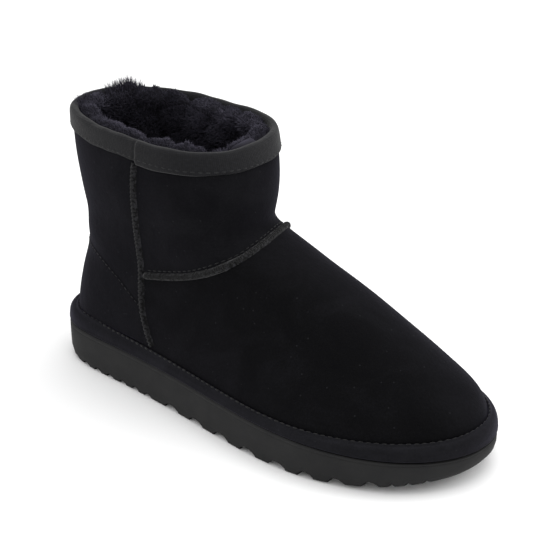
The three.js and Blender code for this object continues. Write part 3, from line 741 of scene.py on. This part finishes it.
def seam_frames(node, pitch, reach):
    """Evenly spaced places on the upper under a seam, with run, sideways and outward directions."""
    crest = crest_of(node)
    first_end = crest[0] + (crest[0] - crest[1]) / np.linalg.norm(crest[0] - crest[1]) * reach
    last_end = crest[-1] + (crest[-1] - crest[-2]) / np.linalg.norm(crest[-1] - crest[-2]) * reach
    crest = np.r_[[first_end], crest, [last_end]]
    feet, _, _ = nearest_on(upper_tree, crest)
    smooth_feet = feet.copy()
    smooth_feet[1:-1] = (feet[:-2] + 2 * feet[1:-1] + feet[2:]) / 4
    dense = along_line(smooth_feet, np.linspace(0, line_length(smooth_feet), line_samples))
    kernel = np.ones(line_blur) / line_blur
    half = line_blur // 2
    padded_line = np.r_[np.repeat(dense[:1], half, 0), dense, np.repeat(dense[-1:], half, 0)]
    dense = np.stack([np.convolve(padded_line[:, k], kernel, "valid") for k in range(3)], axis=1)
    length = line_length(dense)
    at = np.arange(0, length, pitch)
    points = along_line(dense, at)
    ahead = along_line(dense, np.minimum(at + 0.001, length))
    behind = along_line(dense, np.maximum(at - 0.001, 0))
    run = ahead - behind
    run /= np.linalg.norm(run, axis=1)[:, None]
    points, normals, _ = nearest_on(upper_tree, points)
    padded_normals = np.r_[
        np.repeat(normals[:1], normal_spread, 0), normals, np.repeat(normals[-1:], normal_spread, 0)
    ]
    weights = np.ones(2 * normal_spread + 1) / (2 * normal_spread + 1)
    normals = np.stack([np.convolve(padded_normals[:, k], weights, "valid") for k in range(3)], axis=1)
    normals /= np.linalg.norm(normals, axis=1)[:, None]
    sideways = np.cross(normals, run)
    sideways /= np.linalg.norm(sideways, axis=1)[:, None]
    outward = np.cross(run, sideways)
    return points, run, sideways, outward


def sweep(name, rings):
    """A closed piece through rings of points, with a face over each end."""
    rings = np.asarray(rings)
    count, size = rings.shape[:2]
    faces = []
    for i in range(count - 1):
        for k in range(size):
            m = (k + 1) % size
            faces.append((i * size + k, i * size + m, (i + 1) * size + m, (i + 1) * size + k))
    faces.append([k for k in reversed(range(size))])
    faces.append([(count - 1) * size + k for k in range(size)])
    piece = mesh_object(name, rings.reshape(-1, 3), faces)
    bpy.ops.object.mode_set(mode="EDIT")
    bpy.ops.mesh.select_all(action="SELECT")
    bpy.ops.mesh.normals_make_consistent(inside=False)
    bpy.ops.object.mode_set(mode="OBJECT")
    return piece


def tube(line, radius, sides=6):
    """Rings of points round a line of points."""
    run = np.gradient(line, axis=0)
    run /= np.linalg.norm(run, axis=1)[:, None]
    reference = np.array([0.31, 0.17, 0.93])
    first = np.cross(run, reference)
    first /= np.linalg.norm(first, axis=1)[:, None]
    second = np.cross(run, first)
    angles = np.linspace(0, 2 * np.pi, sides, endpoint=False)
    return np.stack(
        [line + radius * (math.cos(a) * first + math.sin(a) * second) for a in angles], axis=1
    )


# Section of the ridge, sideways and out in mm: over its top first, then its hidden foot
ridge_profile = [
    (-2.3, -0.1), (-1.7, 0.15), (-1.4, 0.8), (-1.0, 1.4), (-0.5, 1.8), (0, 1.9),
    (0.5, 1.8), (1.0, 1.4), (1.4, 0.8), (1.7, 0.15), (2.3, -0.1), (1.2, -0.4), (-1.2, -0.4),
]
thread_radius = 0.0003
zigzag_pitch = 0.0023

# The edges are bound in dull spun thread that has sunk in: light strands and dark pits 1 to 2 mm apart,
# the strands' lightness painted highlight and the pits' darkness painted shade
worked_edge, tree = new_material("seam_edge_thread_worked")
place = add_node(tree, "ShaderNodeTexCoord").outputs["Object"]
strands = add_node(
    tree,
    "ShaderNodeTexNoise",
    {"Scale": per_metre(1.92), "Detail": 2, "Roughness": 0.7},
    {"Vector": place},
)
strand_painted_light_tones = [(0.43, "#030304"), (0.5, "#0c0c0d"), (0.59, "#262629")]
bump = add_node(
    tree, "ShaderNodeBump", {"Strength": 0.8, "Distance": 0.0006}, {"Height": strands.outputs["Fac"]}
)
shader = add_node(
    tree,
    "ShaderNodeBsdfPrincipled",
    {"Roughness": 0.85, "Specular IOR Level": 0.15, "Sheen Weight": 0.1},
    {
        "Base Color": ramp(tree, strands.outputs["Fac"], strand_painted_light_tones),
        "Normal": bump.outputs["Normal"],
    },
)
add_node(tree, "ShaderNodeOutputMaterial", links={"Surface": shader.outputs["BSDF"]})


def ridge_height(offset, scale):
    """Height of the ridge at a distance from its middle, both in mm."""
    upper_part = ridge_profile[:11]
    return np.interp(offset, [p[0] for p in upper_part], [p[1] for p in upper_part]) * scale


def raised_seam(node, name, scale, half_zigzag, reach, spun):
    """The ridge of a seam and the overlock thread over it: scale of the section, half zigzag in mm."""
    points, _, sideways, outward = seam_frames(node, seam_step, reach)
    rings = []
    for offset, height in ridge_profile:
        rings.append(points + sideways * offset / 1000 + outward * height * scale / 1000)
    ridge = sweep(name + "_ridge", np.stack(rings, axis=1))
    ridge.data.materials.append(worked_edge)
    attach(ridge, "root")
    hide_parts(node)

    length = line_length(points)
    steps_per_turn = 14
    at = np.arange(0.0008, length - 0.0008, zigzag_pitch / steps_per_turn)
    phase = at / zigzag_pitch
    triangle = 4 * np.abs(phase - np.floor(phase + 0.5)) - 1
    uneven = 1 + 0.25 * np.sin(phase * 1.7 + 1) + 0.2 * np.sin(phase * 4.3)
    offset = half_zigzag * np.sin(triangle * np.pi / 2) * uneven
    travelled = np.r_[0, np.cumsum(np.linalg.norm(np.diff(points, axis=0), axis=1))]
    base, side, out = (
        np.stack([np.interp(at, travelled, rows[:, k]) for k in range(3)], axis=1)
        for rows in (points, sideways, outward)
    )
    # The thread is pressed in, so a little less than its radius stands out of the ridge
    lift = ridge_height(offset, scale) + 0.6 * thread_radius * 1000
    line = base + side * offset[:, None] / 1000 + out * lift[:, None] / 1000
    thread = sweep(name + "_overlock", tube(line, thread_radius))
    thread.data.materials.append(spun)
    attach(thread, "root")
    return points, sideways


side_seam = {"scale": 0.85, "half_zigzag": 1.15, "reach": 0.0004, "spun": pale_thread}
outer_seam, _ = raised_seam("side_seam_lateral", "lateral_seam", **side_seam)
inner_seam, _ = raised_seam("side_seam_medial", "medial_seam", **side_seam)
vamp_points, vamp_side = raised_seam(
    "vamp_seam", "vamp_seam", scale=1.0, half_zigzag=1.3, reach=0.0022, spun=dark_thread
)

shaft_side = vamp_side * np.sign(vamp_side[:, 2:3].mean())

# The vamp is a panel of its own, in front of the side seams and below this seam; its suede is painted
# darker: painted shade where its nap sends back less light
vamp_suede_painted_shade = napped_suede("vamp_suede_napped_painted_shade", "#060607", "#09090a", "#0f0f11", 0.09, "#8e8aa6")
upper.data.materials.append(vamp_suede_painted_shade)
for face in upper.data.polygons:
    centre = np.array(face.center)
    seam_line = outer_seam if centre[1] < 0 else inner_seam
    level = int(np.argmin(np.abs(seam_line[:, 2] - centre[2])))
    closest = int(np.argmin(np.linalg.norm(vamp_points - centre, axis=1)))
    below_seam = (centre - vamp_points[closest]) @ shaft_side[closest] < 0
    if below_seam and centre[0] > seam_line[level, 0]:
        face.material_index = 1

# The thin row of stitches above that seam
vamp_row_offset = 0.003
vamp_row_end = 0.003
vamp_row_pitch = 0.0037
vamp_row_stitch = (0.0024, 0.0006, 0.0004)
row_line = vamp_points + shaft_side * vamp_row_offset
row_at = np.arange(vamp_row_end, line_length(row_line) - vamp_row_end, vamp_row_pitch)
row_places = along_line(row_line, row_at)
row_runs = along_line(row_line, row_at + 0.001) - along_line(row_line, row_at - 0.001)
row_feet, row_normals, _ = nearest_on(upper_tree, row_places)
vamp_row = capsules(
    "vamp_seam_row", row_feet + row_normals * 0.0001, row_runs, row_normals, *vamp_row_stitch
)
vamp_row.data.materials.append(dark_thread)
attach(vamp_row, "root")


# Collar binding: a folded tape sewn over the raw edge of the sheepskin. Its two ends overlap at the
# outer side seam, and fine stitches run just above its lower edge.
upper_points = coordinates(cad_nodes["upper"])
rim_corners = upper_points[upper_points[:, 2] > upper_points[:, 2].max() - 0.0036]
rim_slope, rim_level = np.polyfit(rim_corners[:, 0], rim_corners[:, 2], 1)
binding_drop = 0.0092
shaft_middle = -0.070
tape_radius = 0.053
overlap_place = (-0.0595, -0.036)
overlap_blend = 0.018
overlap_lift = 0.0011
overlap_dip = 0.0009
overlap_dent = 0.0006


def rim_height(x):
    return rim_level + rim_slope * x


binding = merged_copy("collar_binding", "collar_binding_tape")
apply_modifier(binding, "SUBSURF", levels=3, render_levels=3)
tape_points = coordinates(binding)
tape_normals = vertex_normals(binding)
around = np.arctan2(tape_points[:, 1], tape_points[:, 0] - shaft_middle)
away = np.stack([np.cos(around), np.sin(around)], axis=1)
outer_side = smoothstep((np.einsum("ij,ij->i", tape_normals[:, :2], away) + 0.2) / 0.6)
# The front part lies over the back part at the outer side seam
overlap_angle = math.atan2(overlap_place[1], overlap_place[0] - shaft_middle)
past_overlap = (around - overlap_angle + np.pi) % (2 * np.pi) - np.pi
over = smoothstep(past_overlap / overlap_blend) * smoothstep((1.1 - past_overlap) / 0.8)
dent = np.exp(-(((past_overlap + 0.014) / 0.012) ** 2))
lift = (over * overlap_lift - dent * overlap_dent) * outer_side
tape_points = tape_points + tape_normals * lift[:, None]
tape_points[:, 2] -= over * overlap_dip * outer_side
# Its edges waver a little up and down, as sewn tape does
tape_points[:, 2] += 0.0002 * np.sin(around * 7 + 0.6) + 0.000144 * np.sin(around * 16 + 2)
set_coordinates(binding, tape_points)
select_only(binding)
bpy.ops.object.shade_smooth()

# The tape's own map: metres round the collar and up the tape
tape_map = binding.data.uv_layers.new(name="tape_map")
for face in binding.data.polygons:
    turns = []
    for loop in face.loop_indices:
        corner = binding.data.vertices[binding.data.loops[loop].vertex_index].co
        turns.append(math.atan2(corner.y, corner.x - shaft_middle))
    wraps = max(turns) - min(turns) > math.pi
    for loop, turn in zip(face.loop_indices, turns):
        corner = binding.data.vertices[binding.data.loops[loop].vertex_index].co
        fixed = turn + 2 * math.pi if wraps and turn < 0 else turn
        tape_map.data[loop].uv = (fixed * tape_radius, corner.z)

# Woven tape of dull polyester, slightly greyer than the suede; its ribs and picks, really about 0.4 mm
# apart, are drawn about twice as coarse so that they show
binding_tape, tree = new_material("woven_tape_black")
tape_uv = add_node(tree, "ShaderNodeUVMap", uv_map="tape_map").outputs["UV"]
ribs = add_node(
    tree,
    "ShaderNodeTexWave",
    {"Scale": wave_scale(0.952), "Distortion": 1.5, "Detail": 2, "Detail Scale": 2},
    {"Vector": tape_uv},
)
picks = add_node(
    tree,
    "ShaderNodeTexWave",
    {"Scale": wave_scale(0.748), "Distortion": 2.0, "Detail": 2},
    {"Vector": tape_uv},
    bands_direction="Y",
)
fuzz = add_node(
    tree, "ShaderNodeTexNoise", {"Scale": per_metre(1.43), "Detail": 4}, {"Vector": tape_uv}
)
weave = add_node(
    tree,
    "ShaderNodeMath",
    links={0: ribs.outputs["Fac"], 1: picks.outputs["Fac"]},
    operation="MULTIPLY",
)
weave_fuzz = add_node(
    tree,
    "ShaderNodeMath",
    links={0: fuzz.outputs["Fac"], 1: weave.outputs["Value"], 2: fuzz.outputs["Fac"]},
    operation="MULTIPLY_ADD",
)
tape_tones = [(0.25, "#0d0d0f"), (0.6, "#121214"), (0.95, "#1a1a1d")]
bump = add_node(
    tree,
    "ShaderNodeBump",
    {"Strength": 0.6, "Distance": 0.0003},
    {"Height": weave_fuzz.outputs["Value"]},
)
shader = add_node(
    tree,
    "ShaderNodeBsdfPrincipled",
    {"Roughness": 0.9, "Specular IOR Level": 0.2, "Sheen Weight": 0.12, "Sheen Roughness": 0.4},
    {
        "Base Color": ramp(tree, weave_fuzz.outputs["Value"], tape_tones),
        "Normal": bump.outputs["Normal"],
    },
)
add_node(tree, "ShaderNodeOutputMaterial", links={"Surface": shader.outputs["BSDF"]})
binding.data.materials.append(binding_tape)
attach(binding, "root")
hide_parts("collar_binding")
binding_tree = BVHTree.FromObject(binding, bpy.context.evaluated_depsgraph_get())


first_reach = 0.05
reach_tries = 3


def round_collar(drop, tree, count=500):
    """A closed line on the outside of the collar, a drop below its edge."""
    line = []
    normals = []
    for k in range(count):
        angle = -math.pi + 2 * math.pi * k / count
        outward = Vector((math.cos(angle), math.sin(angle), 0))
        reach = first_reach
        for _ in range(reach_tries):
            height = rim_height(shaft_middle + reach * outward.x) - drop
            start = Vector((shaft_middle, 0, height)) + outward * ray_start
            hit = tree.ray_cast(start, -outward)
            reach = (hit[0].to_2d() - Vector((shaft_middle, 0))).length
        line.append(np.array(hit[0]))
        normals.append(np.array(hit[1]))
    return np.array(line), np.array(normals)


tape_stitch_rise = 0.0017
tape_stitch_pitch = 0.004
tape_stitch = (0.0022, 0.0007, 0.0006)
tape_line, _ = round_collar(binding_drop - tape_stitch_rise, binding_tree)
places, runs = along_closed(tape_line, tape_stitch_pitch)
feet, ups, _ = nearest_on(binding_tree, places)
tape_stitches = capsules("binding_stitches", feet, runs, ups, *tape_stitch)
tape_stitches.data.materials.append(pale_thread)
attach(tape_stitches, "root")


# Wool lining: the fleece of the sheepskin, dyed blue-black, in soft lumps. It is held down at the rim
# by the binding and swells inward below it, and a few long hairs stand up at the back.
wool_seed = 7
rng = np.random.default_rng(wool_seed)
clump_spacing = 0.0145
clump_rise = 0.0042
clump_candidate_count = 4000
rim_depth = 0.016

fleece = merged_copy("wool_lining", "wool_fleece")
apply_modifier(fleece, "SUBSURF", levels=2, render_levels=2)


def surface_samples(piece, count, keep):
    """Random places on the faces that keep() wants, by area, with their normals."""
    mesh = piece.data
    mesh.calc_loop_triangles()
    corners = coordinates(piece)
    triangles = np.array([t.vertices[:] for t in mesh.loop_triangles])
    a, b, c = (corners[triangles[:, k]] for k in range(3))
    cross = np.cross(b - a, c - a)
    area = np.linalg.norm(cross, axis=1) / 2
    normal = cross / np.maximum(2 * area, 1e-12)[:, None]
    wanted = keep((a + b + c) / 3, normal)
    weight = area * wanted
    chosen = rng.choice(len(triangles), size=count, p=weight / weight.sum())
    u, v = rng.random(count), rng.random(count)
    flip = u + v > 1
    u[flip], v[flip] = 1 - u[flip], 1 - v[flip]
    places = a[chosen] + u[:, None] * (b - a)[chosen] + v[:, None] * (c - a)[chosen]
    return places, normal[chosen]


def faces_inside(points, normal):
    """1 where a face looks into the boot or up at its mouth, 0 on the back of the fleece."""
    to_middle = np.stack([shaft_middle - points[:, 0], -points[:, 1]], axis=1)
    to_middle /= np.linalg.norm(to_middle, axis=1)[:, None]
    inward = np.einsum("ij,ij->i", to_middle, normal[:, :2])
    at_rim = rim_height(points[:, 0]) - points[:, 2] < rim_depth
    return (inward > 0.15) | ((normal[:, 2] > 0.5) & at_rim)


clump_candidates, _ = surface_samples(
    fleece, clump_candidate_count, lambda p, n: faces_inside(p, n).astype(float)
)
clump_centres = []
for candidate in clump_candidates:
    spacing = clump_spacing * (0.8 + 0.5 * rng.random())
    if all(np.linalg.norm(candidate - other) > spacing for other in clump_centres):
        clump_centres.append(candidate)
clump_tree = KDTree(len(clump_centres))
for index, centre in enumerate(clump_centres):
    clump_tree.insert(Vector(centre), index)
clump_tree.balance()
clump_centres = np.array(clump_centres)


def clump_of(points):
    """Centre of each point's lump of wool, and how near it is to it, from 0 at its edge to 1."""
    found = [clump_tree.find(Vector(p)) for p in points]
    centres = clump_centres[[f[1] for f in found]]
    near = 1 - np.clip(np.array([f[2] for f in found]) / (clump_spacing * 0.72), 0, 1) ** 2
    return centres, np.sqrt(np.clip(near, 0, 1))


def lay_painted_light(piece, values):
    """Stores the painted light on each point of the wool, from 0, painted shade, to 1, painted
    highlight.
    """
    layer = piece.data.attributes.new("painted_light", "FLOAT", "POINT")
    layer.data.foreach_set("value", np.clip(values, 0, 1).astype(np.float32))


lit_depth = 0.026
# Turns round the shaft, in degrees, between which the wool's painted light is cut back to painted shade
shade_from = 95
shade_to = 190
tape_shade = 0.0015
tape_shade_end = 0.006


def painted_light_at(points, near):
    """Painted light on the wool, by its depth, lump and turn and by the binding."""
    below = rim_height(points[:, 0]) - points[:, 2]
    turn = np.degrees(np.arctan2(points[:, 1], points[:, 0] - shaft_middle))
    back_shade = smoothstep((turn - shade_from) / 30) * smoothstep((shade_to - turn) / 20)
    # Next to the binding the wool is held down, and painted shade stands for the tape's shadow on its
    # fibres
    _, _, from_tape = nearest_on(binding_tree, points)
    clear_of_tape_shade = 0.3 + 0.7 * smoothstep((from_tape - tape_shade) / tape_shade_end)
    lit = (0.35 + 0.65 * near**1.5) * smoothstep(1.1 - below / lit_depth) * (1 - 0.85 * back_shade) * clear_of_tape_shade
    # From 12 mm below the rim downwards the wool is painted lighter again: painted light against the
    # dark down in the shaft
    return np.maximum(lit, 0.45 * smoothstep((below - 0.012) / 0.02))


fleece_points = coordinates(fleece)
fleece_normals = vertex_normals(fleece)
inside = faces_inside(fleece_points, fleece_normals)
_, near = clump_of(fleece_points)
below_rim = rim_height(fleece_points[:, 0]) - fleece_points[:, 2]
swell = np.where(inside, clump_rise * (near - 0.45), 0)
fleece_points = fleece_points + fleece_normals * swell[:, None]
# The binding pulls the top of the pile down
fleece_points[:, 2] -= 0.002 * smoothstep(1 - below_rim / 0.008)
set_coordinates(fleece, fleece_points)
lay_painted_light(fleece, 0.3 * painted_light_at(fleece_points, near))
select_only(fleece)
bpy.ops.object.shade_smooth()

# Dyed wool: no gloss, with a violet-grey painted highlight where the fibre ends stand out into the
# light and painted shade in the hollows and deep down. Its fibres are too fine to show, so they are
# drawn about 0.6 mm wide.
dyed_wool_painted_light, tree = new_material("wool_fleece_dyed_painted_light")
place = add_node(tree, "ShaderNodeTexCoord").outputs["Object"]
painted_light = add_node(tree, "ShaderNodeAttribute", attribute_name="painted_light").outputs["Fac"]
patches = add_node(
    tree,
    "ShaderNodeTexNoise",
    {"Scale": per_metre(4.55), "Detail": 5, "Roughness": 0.6},
    {"Vector": place},
)
fibres = add_node(
    tree, "ShaderNodeTexNoise", {"Scale": per_metre(0.625), "Detail": 3}, {"Vector": place}
)
uneven = add_node(
    tree, "ShaderNodeMath", {1: 0.35, 2: -0.17}, {0: patches.outputs["Fac"]}, operation="MULTIPLY_ADD"
)
tone = add_node(tree, "ShaderNodeMath", links={0: painted_light, 1: uneven.outputs["Value"]}, operation="ADD")
# Tones from painted shade at 0 to painted highlight at 1, shifted a little by uneven patches
wool_painted_light_tones = [(0.0, "#1c1b1f"), (0.4, "#2b2a30"), (1.0, "#47454f")]
bump = add_node(
    tree, "ShaderNodeBump", {"Strength": 0.5, "Distance": 0.0005}, {"Height": fibres.outputs["Fac"]}
)
shader = add_node(
    tree,
    "ShaderNodeBsdfPrincipled",
    {
        "Roughness": 1.0,
        "Specular IOR Level": 0.1,
        "Sheen Weight": 0.3,
        "Sheen Roughness": 0.5,
        "Sheen Tint": linear("#8a86a0"),
    },
    {
        "Base Color": ramp(tree, tone.outputs["Value"], wool_painted_light_tones),
        "Normal": bump.outputs["Normal"],
    },
)
add_node(tree, "ShaderNodeOutputMaterial", links={"Surface": shader.outputs["BSDF"]})
fleece.data.materials.append(dyed_wool_painted_light)
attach(fleece, "root")
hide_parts("wool_lining")


def wool_locks(name, roots, directions, lengths, radius, curl, painted_light_values):
    """One piece of closed three-sided locks of fibre, each tapering to a point and bending over."""
    count = len(roots)
    directions = directions / np.linalg.norm(directions, axis=1)[:, None]
    first = np.cross(directions, rng.normal(size=(count, 3)))
    first /= np.linalg.norm(first, axis=1)[:, None]
    second = np.cross(directions, first)
    bend = curl * (rng.normal(size=(count, 1)) * first + rng.normal(size=(count, 1)) * second)
    vertices = np.zeros((count, 10, 3))
    painted_lights = np.zeros((count, 10))
    # Each lock is painted darker at its root and lighter at its tip: painted shade and painted
    # highlight
    for ring, (t, size) in enumerate([(0, 0.8), (0.4, 1.0), (0.75, 0.6)]):
        centre = roots + lengths[:, None] * (directions * t + bend * t * t)
        painted_lights[:, ring * 3 : ring * 3 + 3] = (painted_light_values * (0.25 + 0.75 * t))[:, None]
        for k in range(3):
            angle = 2 * math.pi * k / 3
            offset = math.cos(angle) * first + math.sin(angle) * second
            vertices[:, ring * 3 + k] = centre + radius * size * offset
    vertices[:, 9] = roots + lengths[:, None] * (directions + bend)
    painted_lights[:, 9] = painted_light_values
    pattern = [(2, 1, 0)]
    for ring in range(2):
        for k in range(3):
            m = (k + 1) % 3
            a, b = ring * 3, ring * 3 + 3
            pattern.append((a + k, a + m, b + m, b + k))
    pattern += [(6, 7, 9), (7, 8, 9), (8, 6, 9)]
    faces = [tuple(i * 10 + corner for corner in face) for i in range(count) for face in pattern]
    piece = mesh_object(name, vertices.reshape(-1, 3), faces)
    lay_painted_light(piece, painted_lights.ravel())
    piece.data.materials.append(dyed_wool_painted_light)
    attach(piece, "root")


locks_per_piece = 11500


def fleece_locks(name, count, keep, length, radius):
    """Locks of the pile over part of the fleece, leaning towards the middle of each lump."""
    roots, normals = surface_samples(fleece, count, keep)
    centres, near = clump_of(roots)
    up = np.array([0, 0, 1.0])
    below = rim_height(roots[:, 0]) - roots[:, 2]
    rise = 0.5 * smoothstep(1 - below / 0.02)
    lean = (centres - roots) / clump_spacing * 0.8
    directions = normals + up * rise[:, None] + lean + rng.normal(scale=0.14, size=roots.shape)
    lengths = length * (0.45 + 0.55 * near) * (0.75 + 0.5 * rng.random(count))
    lengths *= 0.45 + 0.55 * smoothstep((below + 0.001) / 0.006)
    painted_light_values = painted_light_at(roots, near) * (0.85 + 0.3 * rng.random(count))
    wool_locks(name, roots - normals * 0.0008, directions, lengths, radius, 0.3, painted_light_values)


shaft_front = -0.02


def in_band(low, high, side):
    """Faces of the fleece between two depths below the rim, on one side of the boot."""

    def keep(points, normal):
        below = rim_height(points[:, 0]) - points[:, 2]
        at_depth = (below >= low) & (below < high)
        wanted = faces_inside(points, normal) & at_depth & (points[:, 0] < shaft_front)
        return (wanted & (points[:, 1] * side >= 0)).astype(float)

    return keep


quick_share = 1
dense_count = int(locks_per_piece * quick_share)
above_rim = -0.01
dense_depth = 0.026
seen_depth = 0.07
for side, side_name in ((-1, "outer"), (1, "inner")):
    part = in_band(above_rim, dense_depth, side)
    fleece_locks(f"wool_rim_{side_name}_side", dense_count, part, 0.005, 0.0003)
for side, side_name in ((-1, "outer"), (1, "inner")):
    part = in_band(dense_depth, seen_depth, side)
    fleece_locks(f"wool_shaft_{side_name}_side", dense_count // 2, part, 0.006, 0.0006)

# A few long hairs stand up past the binding at the back: turn round the shaft in degrees, height in mm
standing_tufts = [
    (150, 6), (152, 8), (154, 9), (156, 10.5), (158, 9), (160, 9.5), (162, 7), (165, 8), (168, 5),
    (176, 4), (-177, 5), (-171, 6), (-167, 5), (-163, 4),
]
hairs_per_tuft = 60
hair_radius = 0.00022
tuft_inset = 0.0062
tuft_depth = 0.004
collar_line, _ = round_collar(0.001, binding_tree)
collar_turns = np.degrees(np.arctan2(collar_line[:, 1], collar_line[:, 0] - shaft_middle))
tuft_roots, tuft_directions, tuft_lengths = [], [], []
for turn, height in standing_tufts:
    edge = collar_line[int(np.argmin(np.abs(collar_turns - turn)))]
    inward = np.array([shaft_middle - edge[0], -edge[1], 0])
    inward /= np.linalg.norm(inward)
    root = edge + inward * tuft_inset - np.array([0, 0, tuft_depth])
    for _ in range(hairs_per_tuft):
        tuft_roots.append(root + rng.normal(scale=(0.0009, 0.0009, 0.0004)))
        tuft_directions.append(np.array([0, 0, 1.0]) - inward * 0.3 + rng.normal(scale=0.16, size=3))
        tuft_lengths.append((height / 1000 + 0.0045) * (0.6 + 0.4 * rng.random()))
wool_locks(
    "wool_standing_hairs",
    np.array(tuft_roots),
    np.array(tuft_directions),
    np.array(tuft_lengths),
    hair_radius,
    0.12,
    np.full(len(tuft_roots), 0.35),
)


# Footbed: a wool-covered sock in the bottom of the boot, seen through the collar.
footbed = merged_copy("insole", "footbed_wool")
apply_modifier(footbed, "SUBSURF", levels=2, render_levels=2)
footbed.data.materials.append(dyed_wool_painted_light)
lay_painted_light(footbed, np.full(len(footbed.data.vertices), 0.2))
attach(footbed, "root")
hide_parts("insole")


# Floor, light and camera: a white sweep under soft daylight-white studio light, with the camera at the
# photograph's angle.
bpy.ops.object.select_all(action="DESELECT")
bpy.ops.mesh.primitive_plane_add(size=30, location=(0, 0, 0))
floor = bpy.context.object
floor.name = "floor"
# Matt white paper, so that only a soft shadow shows on it
floor_paper, tree = new_material("floor_white_paper")
shader = add_node(
    tree,
    "ShaderNodeBsdfPrincipled",
    {"Base Color": linear("#fbfbfb"), "Roughness": 0.9, "Specular IOR Level": 0.1},
)
add_node(tree, "ShaderNodeOutputMaterial", links={"Surface": shader.outputs["BSDF"]})
floor.data.materials.append(floor_paper)

world = bpy.data.worlds.new("studio_white")
scene.world = world
world.use_nodes = True
world.node_tree.nodes.clear()
background = add_node(
    world.node_tree, "ShaderNodeBackground", {"Color": linear("#ffffff"), "Strength": 1.0}
)
add_node(world.node_tree, "ShaderNodeOutputWorld", links={"Surface": background.outputs["Background"]})


def softbox(name, place, aim, size, power):
    """A square area light that looks at a point."""
    light = bpy.data.lights.new(name, "AREA")
    light.size = size
    light.energy = power
    holder = bpy.data.objects.new(name, light)
    scene.collection.objects.link(holder)
    holder.location = place
    holder.rotation_euler = (Vector(aim) - Vector(place)).to_track_quat("-Z", "Y").to_euler()


softbox("softbox_above", (0.1, 0.2, 1.3), (0, 0, 0.05), 1.2, 8)
softbox("softbox_far_side", (0.9, 0.9, 0.7), (0, 0, 0.05), 0.8, 6)
softbox("softbox_heel_side", (-1.1, -0.7, 0.6), (0, 0, 0.05), 0.9, 2)

camera_turn = math.radians(39.605)
camera_height = math.radians(24.358)
camera_distance = 0.92042
camera_target = Vector((-0.01693, 0.02529, 0.06128))
camera = bpy.data.objects.new("camera", bpy.data.cameras.new("camera"))
scene.collection.objects.link(camera)
camera.rotation_euler = (math.pi / 2 - camera_height, 0, camera_turn)
backward = Vector(
    (
        math.sin(camera_turn) * math.cos(camera_height),
        -math.cos(camera_turn) * math.cos(camera_height),
        math.sin(camera_height),
    )
)
camera.location = camera_target + backward * camera_distance
camera.data.sensor_width = 36
camera.data.lens = 110.29
camera.data.clip_end = 20
scene.camera = camera
scene.view_settings.view_transform = "Standard"
